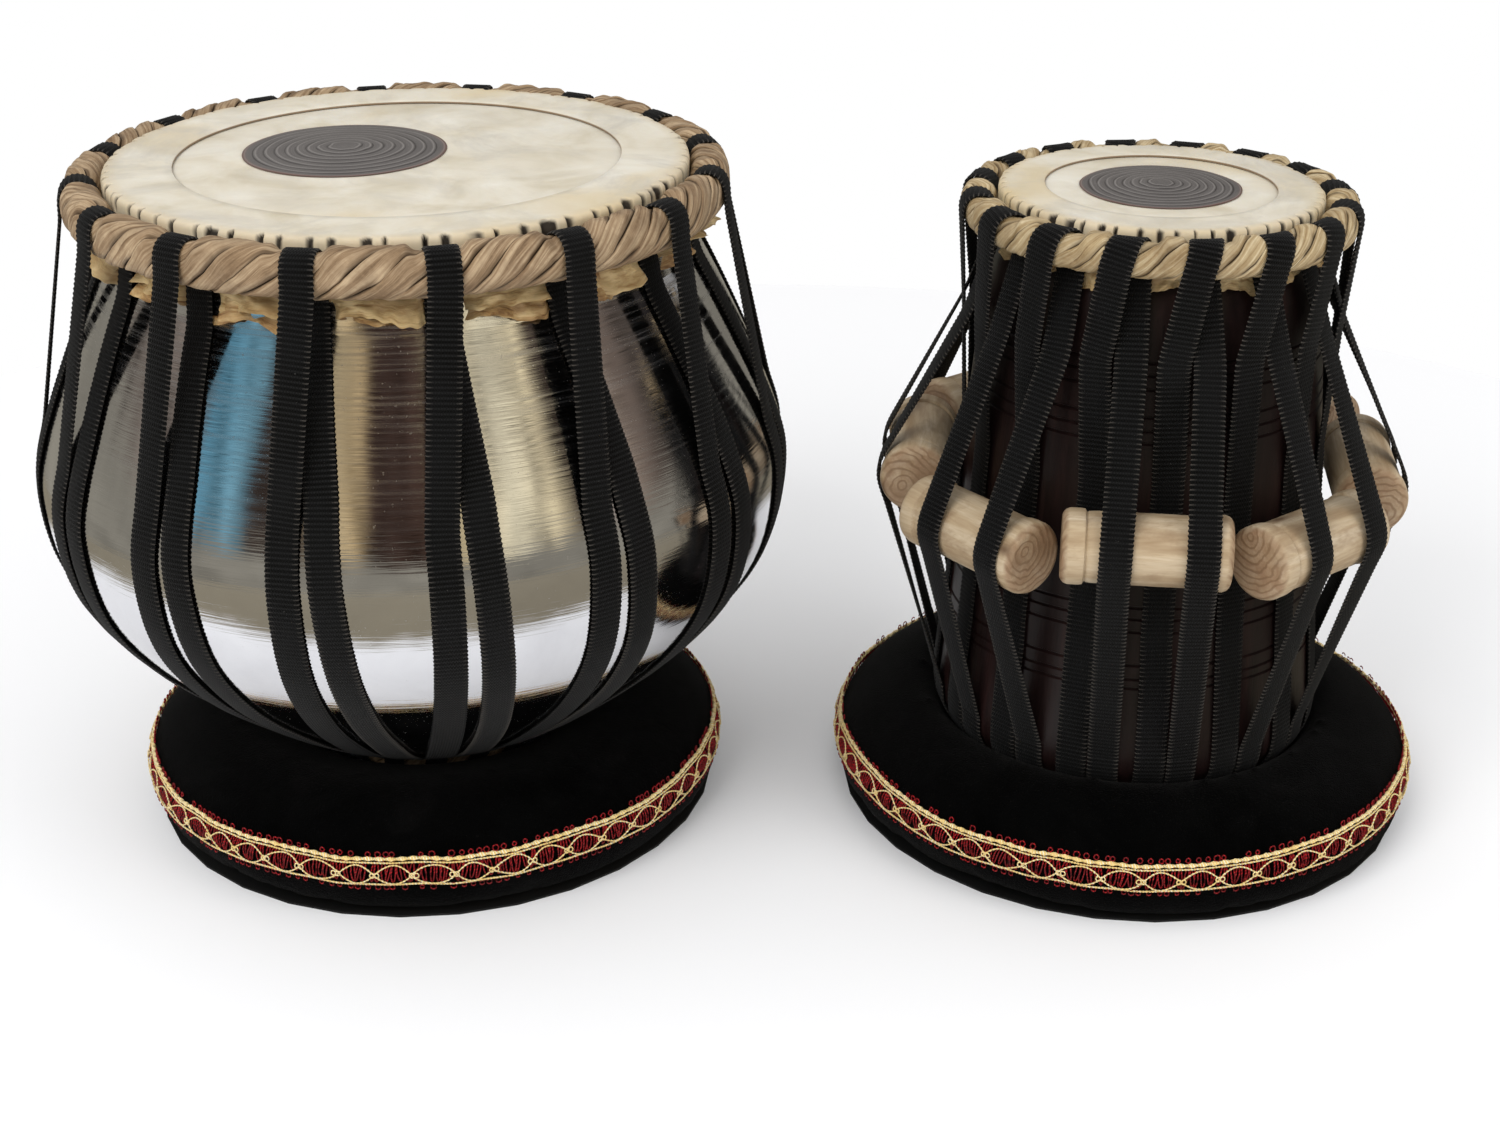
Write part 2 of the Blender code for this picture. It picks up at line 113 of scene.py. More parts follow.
class DrumMeasures:
    """Places on a drum that its looks hang on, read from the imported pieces."""

    def __init__(self, name, shell_node):
        low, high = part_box(shell_node)
        self.name = name
        self.seed = 10 if name == "bayan" else 60
        self.x = (low.x + high.x) / 2
        braid_low, braid_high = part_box(name + "_braid")
        skin_low, skin_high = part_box(name + "_edge_skin")
        play_low, play_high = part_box(name + "_playing_skin")
        self.skin_radius = (skin_high.x - skin_low.x) / 2
        self.playing_radius = (play_high.x - play_low.x) / 2
        self.top = skin_high.z
        self.playing_top = play_high.z
        self.slit = self.skin_radius + STRAP_GAP + STRAP_THICKNESS / 2
        self.braid_outer = (braid_high.x - braid_low.x) / 2
        self.braid_inner = math.hypot(self.slit + STRAP_THICKNESS / 2, STRAP_WIDTH / 2) + 0.3 * MM
        self.braid_radius = (self.braid_outer + self.braid_inner) / 2
        self.braid_half_width = (self.braid_outer - self.braid_inner) / 2
        self.braid_height = (braid_low.z + braid_high.z) / 2
        self.braid_half_height = (braid_high.z - braid_low.z) / 2
        self.skirt_low = skin_low.z
        ring_low, ring_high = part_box(name + "_bottom_ring")
        self.ring_half = (ring_high.z - ring_low.z) / 2 / math.cos(math.pi / 6)
        self.ring_radius = (ring_high.x - ring_low.x) / 2 - self.ring_half
        self.ring_height = (ring_low.z + ring_high.z) / 2


bayan = DrumMeasures("bayan", "bayan_metal_shell")
dayan = DrumMeasures("dayan", "dayan_wooden_shell")


def metres(points):
    return [(r * MM, z * MM) for r, z in points]


def smooth_line(points, per_span=5, closed=False):
    """A smooth curve through the points, with per_span steps between each two."""
    p = np.asarray(points, float)
    if closed:
        p = np.vstack([p[-1], p, p[0], p[1]])
    else:
        p = np.vstack([2 * p[0] - p[1], p, 2 * p[-1] - p[-2]])
    t = (np.arange(per_span) / per_span)[:, None]
    spans = []
    for a, b, c, d in zip(p, p[1:], p[2:], p[3:]):
        bend, twist = 2 * a - 5 * b + 4 * c - d, 3 * b - a - 3 * c + d
        spans.append(0.5 * (2 * b + (c - a) * t + bend * t**2 + twist * t**3))
    curve = np.vstack(spans)
    return curve if closed else np.vstack([curve, p[-2]])


def unit(rows):
    return rows / np.maximum(np.linalg.norm(rows, axis=1)[:, None], 1e-9)


def heading(line, closed=False):
    """The direction in which a line runs, at each of its points."""
    return unit(np.roll(line, -1, 0) - np.roll(line, 1, 0) if closed else np.gradient(line, axis=0))


def distances(line):
    """How far along a line each of its points is."""
    return np.r_[0, np.cumsum(np.linalg.norm(np.diff(line, axis=0), axis=1))]


def even_steps(points, step, closed=False):
    """The same line with its points a step apart; every column is carried along."""
    p = np.asarray(points, float)
    if closed:
        p = np.vstack([p, p[:1]])
    length = distances(p[:, :3])
    count = max(2, round(length[-1] / step))
    at = np.linspace(0, length[-1], count + 1)
    if closed:
        at = at[:-1]
    return np.column_stack([np.interp(at, length, p[:, i]) for i in range(p.shape[1])])


def move_sideways(points, distance):
    """An outline moved to its left as it is walked."""
    p = np.asarray(points, float)
    along = heading(p)
    return p + np.column_stack([-along[:, 1], along[:, 0]]) * distance


def radius_at(curve, height):
    """The radius of an outline at a height."""
    order = np.argsort(curve[:, 1])
    return np.interp(height, curve[order, 1], curve[order, 0])


def ripple(angle, seed, lowest, highest, fade=1.0):
    """A wavy value of mean 0 and size about 1 that meets itself after a full turn."""
    chance = np.random.default_rng(seed)
    total = np.zeros_like(angle)
    for k in range(lowest, highest + 1):
        size = (lowest / k) ** fade
        total += size * chance.normal() * np.cos(k * angle + chance.uniform(0, TURN))
    return total / math.sqrt(sum((lowest / k) ** (2 * fade) for k in range(lowest, highest + 1)))


def rumple(around_it, down_it, seed, lowest, highest, turns):
    """A crumpled value of mean 0 and size about 1 that meets itself after a full turn either way."""
    chance = np.random.default_rng(seed)
    total = 0
    for _ in range(26):
        k, m = chance.integers(lowest, highest + 1), chance.integers(-turns, turns + 1)
        total = total + np.cos(k * around_it + m * down_it + chance.uniform(0, TURN))
    return total / math.sqrt(13)


def easy_line(points, step, softness, closed=False):
    """A line of even steps through the points, its bends eased over a length of softness."""
    fine = even_steps(points, step, closed)
    reach = max(1, round(softness / step / 2))
    weights = np.hanning(2 * reach + 3)[1:-1]
    weights /= weights.sum()
    if closed:
        longer = np.vstack([fine[-reach:], fine, fine[:reach]])
    else:
        head = 2 * fine[0] - fine[reach:0:-1]
        tail = 2 * fine[-1] - fine[-2 : -reach - 2 : -1]
        longer = np.vstack([head, fine, tail])
    eased = [np.convolve(longer[:, i], weights, "valid") for i in range(longer.shape[1])]
    return even_steps(np.column_stack(eased), step, closed)


BAYAN_CURVE = smooth_line(metres(BAYAN_SIDE + BAYAN_HEEL), 6)
DAYAN_CURVE = smooth_line(metres(DAYAN_SIDE + DAYAN_HEEL), 4)


# ---------------------------------------------------------------- materials


def tone(red, green, blue):
    """A colour given as it looks, 0 to 255, as the shader wants it."""
    levels = (red, green, blue)
    return (*(((c / 255 + 0.055) / 1.055) ** 2.4 if c > 10 else c / 255 / 12.92 for c in levels), 1)


class Nodes:
    """A node tree being put together. A colour is three numbers from 0 to 255, as it looks."""

    def __init__(self, tree):
        self.tree = tree

    def feed(self, socket, value):
        if isinstance(value, bpy.types.NodeSocket):
            self.tree.links.new(value, socket)
        else:
            is_colour = isinstance(value, tuple) and len(value) == 3
            socket.default_value = tone(*value) if is_colour else value

    def add(self, kind, **inputs):
        node = self.tree.nodes.new(kind)
        for key, value in inputs.items():
            self.feed(node.inputs[key.replace("_", " ")], value)
        return node

    def split(self, vector):
        return self.add("ShaderNodeSeparateXYZ", Vector=vector).outputs

    def join(self, x=0.0, y=0.0, z=0.0):
        return self.add("ShaderNodeCombineXYZ", X=x, Y=y, Z=z).outputs["Vector"]

    def noise(self, vector, scale, detail=3.0, rough=0.55, warp=0.0):
        settings = {"Scale": scale, "Detail": detail, "Roughness": rough, "Distortion": warp}
        return self.add("ShaderNodeTexNoise", Vector=vector, **settings).outputs["Fac"]

    def math(self, operation, a, b=0.0, c=0.0):
        node = self.add("ShaderNodeMath")
        node.operation = operation
        for socket, value in zip(node.inputs, (a, b, c)):
            self.feed(socket, value)
        return node.outputs[0]

    def times(self, a, b):
        return self.math("MULTIPLY", a, b)

    def plus(self, a, b):
        return self.math("ADD", a, b)

    def scaled(self, a, factor, offset):
        return self.math("MULTIPLY_ADD", a, factor, offset)

    def sine(self, a):
        return self.math("SINE", a)

    def away(self, x, y):
        """The distance from an axis."""
        return self.math("POWER", self.plus(self.times(x, x), self.times(y, y)), 0.5)

    def between(self, value, low, high, start=0.0, end=1.0):
        """Runs from start to end as the value goes from low to high."""
        ends = {"From_Min": low, "From_Max": high, "To_Min": start, "To_Max": end}
        return self.add("ShaderNodeMapRange", Value=value, **ends).outputs["Result"]

    def ramp(self, value, *stops):
        node = self.add("ShaderNodeValToRGB", Fac=value)
        elements = node.color_ramp.elements
        while len(elements) < len(stops):
            elements.new(0.5)
        for element, (position, colour) in zip(elements, stops):
            element.position = position
            element.color = tone(*colour) if isinstance(colour, tuple) else (colour, colour, colour, 1)
        return node.outputs["Color"]

    def blend(self, share, a, b, how="MIX"):
        node = self.add("ShaderNodeMix")
        node.data_type = "RGBA"
        node.blend_type = how
        for socket, value in ((node.inputs["Factor"], share), (node.inputs[6], a), (node.inputs[7], b)):
            self.feed(socket, value)
        return node.outputs[2]


class Finish(Nodes):
    """A material being put together."""

    def __init__(self, name, roughness=0.5, metallic=0.0, sheen=0.0):
        self.material = bpy.data.materials.new(name)
        self.material.use_nodes = True
        super().__init__(self.material.node_tree)
        self.shader = self.tree.nodes["Principled BSDF"]
        self.set("Roughness", roughness)
        self.set("Metallic", metallic)
        self.set("Sheen Weight", sheen)

    def set(self, socket, value):
        self.shader.inputs[socket].default_value = value

    def link(self, output, socket):
        self.tree.links.new(output, self.shader.inputs[socket])

    def place(self, centre=(0, 0, 0), scale=(1, 1, 1)):
        """Object coordinates measured from a centre."""
        where = self.add("ShaderNodeTexCoord")
        mapping = self.add("ShaderNodeMapping", Vector=where.outputs["Object"])
        mapping.inputs["Location"].default_value = [-c * s for c, s in zip(centre, scale)]
        mapping.inputs["Scale"].default_value = scale
        return mapping.outputs["Vector"]

    def drawn(self, name):
        """The piece's own attribute, and its three numbers."""
        node = self.add("ShaderNodeAttribute")
        node.attribute_name = name
        return node.outputs["Vector"], self.split(node.outputs["Vector"])

    def bump(self, *layers):
        """Each layer is (height, strength, distance)."""
        normal = None
        for height, strength, distance in layers:
            node = self.add("ShaderNodeBump", Height=height, Strength=strength, Distance=distance)
            if normal is not None:
                self.feed(node.inputs["Normal"], normal)
            normal = node.outputs["Normal"]
        self.link(normal, "Normal")


def polished_metal():
    """Plated sheet metal spun and buffed: fine rings round the shell, faint smears and dust."""
    f = Finish("polished_metal", roughness=0.08, metallic=1.0)
    place = f.place((bayan.x, 0, 0))
    z = f.split(place)["Z"]
    rings = f.noise(f.join(z=z), 900, 4, 0.7)
    broken = f.noise(f.place((bayan.x, 0, 0), (3, 3, 160)), 5, 3, 0.6)
    smears = f.noise(place, 22, 5, 0.62, 0.6)
    dust = f.noise(place, 900, 2, 0.5)
    f.link(f.blend(smears, (196, 196, 200), (232, 233, 236)), "Base Color")
    near_collar = f.between(z, 0.15, 0.25, 0.14)
    scratch = f.times(f.ramp(broken, (0.42, 0.0), (0.70, 1.0)), near_collar)
    base = f.scaled(smears, 0.10, 0.008)
    rough = f.scaled(scratch, 0.26, base)
    rough = f.plus(rough, f.times(f.ramp(dust, (0.66, 0.0), (0.76, 0.35)), 0.6))
    f.link(rough, "Roughness")
    f.bump((rings, 0.06, 0.0004), (broken, 0.14, 0.0006), (f.noise(place, 14, 2, 0.5), 0.16, 0.004))
    return f.material


def dark_wood():
    """Seasoned hardwood turned on a lathe, nearly black, rubbed to a satin polish."""
    f = Finish("dark_wood", roughness=0.4)
    f.set("Specular IOR Level", 0.35)
    long_grain = f.place((dayan.x, 0, 0), (1, 1, 0.06))
    streak = f.noise(long_grain, 150, 6, 0.65, 0.4)
    pores = f.noise(f.place((dayan.x, 0, 0), (1, 1, 0.03)), 900, 3, 0.6)
    cloud = f.noise(f.place((dayan.x, 0, 0), (1, 1, 0.3)), 20, 3, 0.5)
    colour = f.ramp(streak, (0.30, (14, 8, 8)), (0.55, (33, 19, 18)), (0.75, (54, 32, 28)))
    colour = f.blend(f.ramp(cloud, (0.35, 0.0), (0.7, 0.45)), colour, (22, 13, 12))
    f.link(f.blend(f.ramp(pores, (0.60, 0.0), (0.72, 0.7)), colour, (8, 5, 5)), "Base Color")
    f.link(f.scaled(streak, 0.25, 0.28), "Roughness")
    turning = f.noise(f.place((dayan.x, 0, 0), (0.2, 0.2, 9)), 130, 3, 0.6)
    f.bump((pores, 0.25, 0.0004), (turning, 0.10, 0.0005))
    return f.material


def skin(name, centre, inner, outer, seed):
    """Scraped goat skin: cream, mottled, greyer and smudged where it is played, tanner at its edge, with
    painted shade in the lace holes and along the cut edge of the opening.
    """
    f = Finish(name, roughness=0.55)
    place = f.place(centre)
    x, y, _ = f.split(place)
    radius = f.away(x, y)
    shifted = f.place((centre[0] + seed, seed * 2, 0))
    mottle = f.noise(shifted, 32, 5, 0.6, 0.5)
    fine = f.noise(shifted, 190, 4, 0.6)
    blotch = f.noise(shifted, 11, 3, 0.5, 0.3)
    colour = f.ramp(mottle, (0.28, (196, 185, 160)), (0.50, (214, 206, 188)), (0.72, (224, 219, 206)))
    colour = f.blend(f.ramp(blotch, (0.54, 0.0), (0.70, 0.7)), colour, (208, 188, 146))
    smudge = f.ramp(f.noise(shifted, 20, 6, 0.7, 1.2), (0.46, 0.0), (0.68, 0.7))
    played = f.between(radius, inner * 0.45, inner, 1.0, 0.3)
    colour = f.blend(f.times(smudge, played), colour, (186, 180, 168))
    rim = f.between(f.plus(radius, f.times(mottle, 0.006)), outer * 0.97, outer * 1.03)
    colour = f.blend(f.times(rim, 0.55), colour, (198, 174, 130))
    _, (lace_hole_shade, cut_edge_shade, _) = f.drawn("lace")
    # Painted shade along the cut edge of the opening, on the edge skin's inner wall
    colour = f.blend(f.times(cut_edge_shade, 0.85), colour, (112, 82, 48))
    # Painted shade in the lace holes: near black where each notch is
    f.link(f.blend(f.times(lace_hole_shade, 0.97), colour, (22, 13, 8)), "Base Color")
    f.link(f.scaled(mottle, 0.25, 0.40), "Roughness")
    f.set("Subsurface Weight", 0.05)
    f.set("Subsurface Radius", (0.003, 0.002, 0.001))
    f.bump((fine, 0.16, 0.0004), (mottle, 0.15, 0.0012))
    return f.material


def hem_skin(name, base, dark):
    """The untrimmed hem of the skins: translucent tan, creased, with painted shade in the creases, lighter on
    their ridges, and darker in random patches.
    """
    f = Finish(name, roughness=0.5)
    _, (u, _, w) = f.drawn("cut")
    crease = f.noise(f.join(f.times(u, 26.0), f.times(w, 1.6), 0.0), 4, 5, 0.65, 0.9)
    cloud = f.noise(f.place(), 60, 4, 0.6)
    # Painted shade and light: dark is the skin's shaded tone, laid in the creases, and the colour lightens
    # towards the ridges
    colour = f.ramp(crease, (0.32, dark), (0.5, base), (0.75, (222, 198, 150)))
    f.link(f.blend(f.ramp(cloud, (0.42, 0.0), (0.62, 0.6)), colour, dark), "Base Color")
    f.set("Subsurface Weight", 0.15)
    f.set("Subsurface Radius", (0.003, 0.002, 0.001))
    f.bump((crease, 0.5, 0.0012), (cloud, 0.3, 0.0008))
    return f.material


def black_paste(name, centre):
    """Layers of dried iron paste, rubbed smooth in rings, with a painted highlight on the edge of each step
    and painted shade at its foot.
    """
    f = Finish(name, roughness=0.5)
    place = f.place((*centre, 0))
    _, (step, share, _) = f.drawn("layer")
    fine = f.noise(f.join(share), 55, 4, 0.75)
    cracks = f.add("ShaderNodeTexVoronoi", Vector=place, Scale=1300.0)
    cracks.feature = "DISTANCE_TO_EDGE"
    colour = f.ramp(fine, (0.30, (74, 70, 69)), (0.5, (98, 94, 92)), (0.72, (124, 119, 116)))
    cloud = f.noise(place, 45, 4, 0.6)
    colour = f.blend(f.ramp(cloud, (0.4, 0.0), (0.7, 0.55)), colour, (84, 80, 79))
    # Painted shade at the foot of each step
    colour = f.blend(f.ramp(step, (0.08, 1.0), (0.42, 0.0)), colour, (34, 31, 30))
    # Painted highlight on the edge of each step
    colour = f.blend(f.ramp(step, (0.72, 0.0), (1.0, 0.6)), colour, (150, 145, 141))
    edge = f.ramp(cracks.outputs["Distance"], (0.0, 0.5), (0.06, 0.0))
    colour = f.blend(edge, colour, (50, 46, 45))
    rusty = f.ramp(share, (0.95, 0.0), (1.0, 0.6))
    f.link(f.blend(rusty, colour, (112, 72, 58)), "Base Color")
    f.link(f.scaled(fine, 0.2, 0.34), "Roughness")
    f.bump((fine, 0.3, 0.0005), (edge, -0.2, 0.0003))
    return f.material


def rawhide(name, light, mid, dark):
    """Twisted rawhide thong: smooth dusty strips, a few creases on each with painted shade in them and painted
    highlights beside them, and painted shade in the groove between two strips.
    """
    f = Finish(name, roughness=0.6)
    _, (strip, along, height) = f.drawn("lay")
    creases = f.noise(f.join(f.times(strip, 2.0), f.times(along, 1.5), 0.0), 3, 4, 0.6, 0.5)
    fibre = f.noise(f.join(f.times(strip, 9.0), f.times(along, 10.0), 3.0), 5, 3, 0.6)
    cloud = f.noise(f.place(), 60, 4, 0.6, 0.3)
    speck = f.noise(f.place(), 520, 3, 0.6)
    # Painted shade and highlight: the crease relief sets the colour, dark in the creases and light beside them
    colour = f.ramp(creases, (0.26, dark), (0.44, mid), (0.62, light))
    colour = f.blend(f.ramp(cloud, (0.42, 0.0), (0.66, 0.55)), colour, dark)
    colour = f.blend(f.ramp(speck, (0.52, 0.0), (0.68, 0.45)), colour, mid)
    colour = f.blend(f.ramp(fibre, (0.56, 0.0), (0.74, 0.35)), colour, light)
    # Painted shade in the groove where one strip laps under the next, set by how far the strip stands out
    groove_shade = f.ramp(height, (0.25, 1.0), (0.55, 0.55), (0.80, 0.0))
    f.link(f.blend(groove_shade, colour, f.blend(0.7, dark, (24, 15, 9))), "Base Color")
    f.link(f.scaled(cloud, 0.3, 0.42), "Roughness")
    f.bump((creases, 0.35, 0.0010), (speck, 0.35, 0.0004), (fibre, 0.2, 0.0004))
    return f.material


def black_webbing():
    """Cotton-nylon webbing woven with a rib across it, with painted highlights on the rib crests and painted
    shade between them, and lighter dashes on the crests along both edges.
    """
    f = Finish("black_webbing", roughness=0.8, sheen=0.03)
    f.set("Sheen Roughness", 0.5)
    f.set("Specular IOR Level", 0.2)
    _, (across, along, _) = f.drawn("weave")
    ribs = f.sine(f.times(along, TURN / RIB_PITCH))
    warp = f.sine(f.times(across, TURN / (1.1 * MM)))
    threads = f.times(ribs, warp)
    lint = f.noise(f.place(), 700, 3, 0.6)
    cloud = f.noise(f.place(), 45, 3, 0.5)
    # Painted highlight on the rib crests and painted shade between them
    shade = f.scaled(ribs, 0.35, f.scaled(threads, 0.18, 0.5))
    colour = f.ramp(shade, (0.05, (2, 2, 2)), (0.5, (9, 9, 9)), (0.95, (25, 25, 25)))
    colour = f.blend(f.ramp(cloud, (0.4, 0.0), (0.75, 0.4)), colour, (20, 20, 21))
    edge = f.ramp(f.math("ABSOLUTE", across), (5.3 * MM, 0.0), (5.9 * MM, 1.0))
    # Lighter dashes on the rib crests along both edges
    edge_crest_dashes = f.times(edge, f.ramp(ribs, (0.55, 0.0), (0.9, 0.5)))
    colour = f.blend(edge_crest_dashes, colour, (116, 108, 98))
    f.link(f.blend(f.ramp(lint, (0.72, 0.0), (0.79, 0.5)), colour, (96, 94, 90)), "Base Color")
    f.bump((threads, 0.5, 0.0003), (lint, 0.4, 0.0003))
    return f.material


def block_wood():
    """Bare turned wood, handled until it is greyish: grain along the block, growth rings on its ends."""
    f = Finish("pale_wood", roughness=0.55)
    vector, (x, y, z) = f.drawn("grain")
    along = f.join(f.times(x, 0.10), y, z)
    warped = f.noise(f.join(f.times(x, 0.35), y, z), 60, 3, 0.5, 0.6)
    heart = f.plus(z, 0.009)
    radius = f.away(y, heart)
    rings = f.sine(f.times(f.plus(radius, f.times(warped, 0.008)), 2300.0))
    fibre = f.noise(along, 900, 5, 0.7)
    broad = f.noise(along, 130, 4, 0.6, 0.5)
    colour = f.ramp(broad, (0.28, (150, 124, 92)), (0.5, (186, 165, 134)), (0.72, (208, 192, 166)))
    colour = f.blend(f.ramp(fibre, (0.45, 0.0), (0.72, 0.5)), colour, (158, 132, 100))
    end = f.ramp(f.times(f.math("ABSOLUTE", x), 10.0), (0.300, 0.0), (0.318, 1.0))
    ring_shade = f.times(f.ramp(rings, (0.1, 0.0), (0.95, 0.6)), f.scaled(end, 0.9, 0.12))
    worn = f.times(end, f.ramp(f.noise(vector, 90, 5, 0.65), (0.35, 0.25), (0.62, 0.95)))
    colour = f.blend(worn, colour, (146, 116, 88))
    colour = f.blend(ring_shade, colour, (118, 88, 60))
    soiled = f.ramp(f.noise(f.join(f.times(x, 0.6), y, z), 70, 5, 0.65, 0.4), (0.5, 0.0), (0.68, 0.65))
    colour = f.blend(soiled, colour, (138, 112, 84))
    knots = f.add("ShaderNodeTexVoronoi", Vector=f.join(f.times(x, 0.55), y, z), Scale=30.0)
    knot = f.ramp(knots.outputs["Distance"], (0.03, 0.85), (0.09, 0.25), (0.15, 0.0))
    colour = f.blend(knot, colour, (92, 66, 44))
    f.link(colour, "Base Color")
    f.link(f.scaled(fibre, 0.25, 0.42), "Roughness")
    f.bump((fibre, 0.3, 0.0005), (f.times(rings, end), 0.15, 0.0003), (knot, -0.2, 0.0006))
    return f.material


def black_velvet():
    """Cotton velvet: nearly black pile, with a soft bloom where the nap leans painted into its colour as
    lighter patches.
    """
    f = Finish("black_velvet", roughness=0.95, sheen=0.12)
    f.set("Sheen Roughness", 0.3)
    f.set("Sheen Tint", tone(120, 118, 116))
    f.set("Specular IOR Level", 0.05)
    place = f.place()
    nap = f.noise(place, 28, 4, 0.6, 1.0)
    pile = f.noise(place, 1500, 2, 0.6)
    # Painted sheen: the nap noise lightens the colour in patches where the pile would catch a soft sheen
    colour = f.ramp(nap, (0.35, (2, 2, 2)), (0.6, (5, 5, 5)), (0.8, (12, 11, 11)))
    speck = f.ramp(f.noise(place, 420, 3, 0.7), (0.68, 0.0), (0.80, 0.6))
    f.link(f.blend(speck, colour, (34, 32, 31)), "Base Color")
    f.bump((pile, 0.9, 0.0010), (nap, 0.3, 0.002))
    return f.material


def thread(name, light, dark, metallic, roughness, turns):
    """Twisted thread, with a painted highlight on each turn of the twist and painted shade between turns;
    turns is how many times the twist shows per metre.
    """
    f = Finish(name, roughness=roughness, metallic=metallic)
    _, (along, around, _) = f.drawn("twist")
    twist = f.sine(f.plus(f.times(along, turns * TURN), around))
    # Painted highlight and shade along the twist: light on each turn, dark between
    colour = f.blend(f.ramp(twist, (0.25, 0.0), (0.8, 1.0)), dark, light)
    uneven = f.noise(f.place(), 160, 3, 0.6)
    f.link(f.blend(f.ramp(uneven, (0.5, 0.0), (0.62, 0.8)), colour, dark), "Base Color")
    f.bump((twist, 0.6, 0.0004))
    return f.material


def plain_cloth(name, colour, lighter):
    f = Finish(name, roughness=0.9)
    x, y, _ = f.split(f.place())
    weave = f.times(f.sine(f.times(x, 6000.0)), f.sine(f.times(y, 6000.0)))
    f.link(f.blend(f.ramp(weave, (0.3, 0.0), (0.8, 1.0)), colour, lighter), "Base Color")
    f.bump((weave, 0.4, 0.0003))
    return f.material


# ---------------------------------------------------------------- modelling


def pick_nothing():
    if bpy.context.object and bpy.context.object.mode != "OBJECT":
        bpy.ops.object.mode_set(mode="OBJECT")
    bpy.ops.object.select_all(action="DESELECT")


def pick(piece):
    pick_nothing()
    piece.select_set(True)
    bpy.context.view_layer.objects.active = piece


def settle(piece, look, body, slot, *nodes, smooth=35):
    """Puts the piece's place into its mesh. It gets its finish, its body and the nodes it stands for."""
    pick(piece)
    bpy.ops.object.transform_apply(location=True, rotation=True, scale=True)
    bpy.ops.object.shade_smooth_by_angle(angle=math.radians(smooth))
    piece.data.materials.clear()
    piece.data.materials.append(look)
    if body:
        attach(piece, body)
    if nodes:
        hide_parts(*nodes)
    return piece


def spin_outline(name, x, y, outline, sides):
    """A closed outline beside the axis, spun once round it. It starts as a flat ring of as many corners."""
    pick_nothing()
    bpy.ops.mesh.primitive_circle_add(vertices=len(outline), radius=0.05, location=(x, y, 0))
    piece = bpy.context.object
    piece.name = name
    for corner, (r, z) in zip(piece.data.vertices, outline):
        corner.co = (r, 0, z)
    bpy.ops.object.mode_set(mode="EDIT")
    bpy.ops.mesh.select_all(action="SELECT")
    bpy.ops.mesh.spin(steps=sides, angle=TURN, center=(x, y, 0), axis=(0, 0, 1))
    bpy.ops.mesh.select_all(action="SELECT")
    bpy.ops.mesh.remove_doubles(threshold=1e-6)
    bpy.ops.mesh.delete_loose(use_verts=True, use_edges=True, use_faces=False)
    bpy.ops.mesh.select_all(action="SELECT")
    bpy.ops.mesh.normals_make_consistent(inside=False)
    bpy.ops.object.mode_set(mode="OBJECT")
    return piece


def grid_faces(rows, columns, wrap_rows, wrap_columns):
    """The four corners of each face of a grid of points, numbered row by row."""
    i = np.arange(rows if wrap_rows else rows - 1)
    j = np.arange(columns if wrap_columns else columns - 1)
    i, j = np.meshgrid(i, j, indexing="ij")
    below, beside = (i + 1) % rows, (j + 1) % columns
    corners = (i * columns + j, i * columns + beside, below * columns + beside, below * columns + j)
    return np.stack(corners, -1).reshape(-1, 4)


def from_grid(name, points, **drawn):
    """A mesh from a grid of points that closes both ways. drawn is what the finish reads at each point."""
    faces = grid_faces(*points.shape[:2], True, True)
    return from_faces(name, points.reshape(-1, 3), faces, **{k: v.reshape(-1, 3) for k, v in drawn.items()})


def from_faces(name, points, faces, **drawn):
    mesh = bpy.data.meshes.new(name)
    mesh.from_pydata(points.tolist(), [], faces.tolist())
    for key, values in drawn.items():
        attribute = mesh.attributes.new(key, "FLOAT_VECTOR", "POINT")
        attribute.data.foreach_set("vector", np.asarray(values, np.float32).reshape(-1))
    piece = bpy.data.objects.new(name, mesh)
    bpy.context.scene.collection.objects.link(piece)
    pick(piece)
    bpy.ops.object.mode_set(mode="EDIT")
    bpy.ops.mesh.select_all(action="SELECT")
    bpy.ops.mesh.normals_make_consistent(inside=False)
    bpy.ops.object.mode_set(mode="OBJECT")
    return piece


def around(x, angle, radius, height):
    """Points on a drum from azimuth in radians, radius and height."""
    return np.stack([x + radius * np.sin(angle), -radius * np.cos(angle), height + 0 * angle], -1)


# ---------------------------------------------------------------- shells and skins


def bayan_shell():
    wall = 2 * MM
    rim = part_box("bayan_metal_shell")[1].z
    outer = np.vstack([[BAYAN_CURVE[0, 0], rim], BAYAN_CURVE])
    inner = move_sideways(outer, -wall)[::4]
    inner[0] = (outer[0, 0] - wall, rim)
    outline = [*outer, (0, outer[-1, 1]), (0, inner[-1, 1]), *inner[::-1]]
    piece = spin_outline("bayan_shell", bayan.x, 0, outline, 192)
    settle(piece, polished_metal(), "bayan", "polished_metal", "bayan_metal_shell", smooth=50)


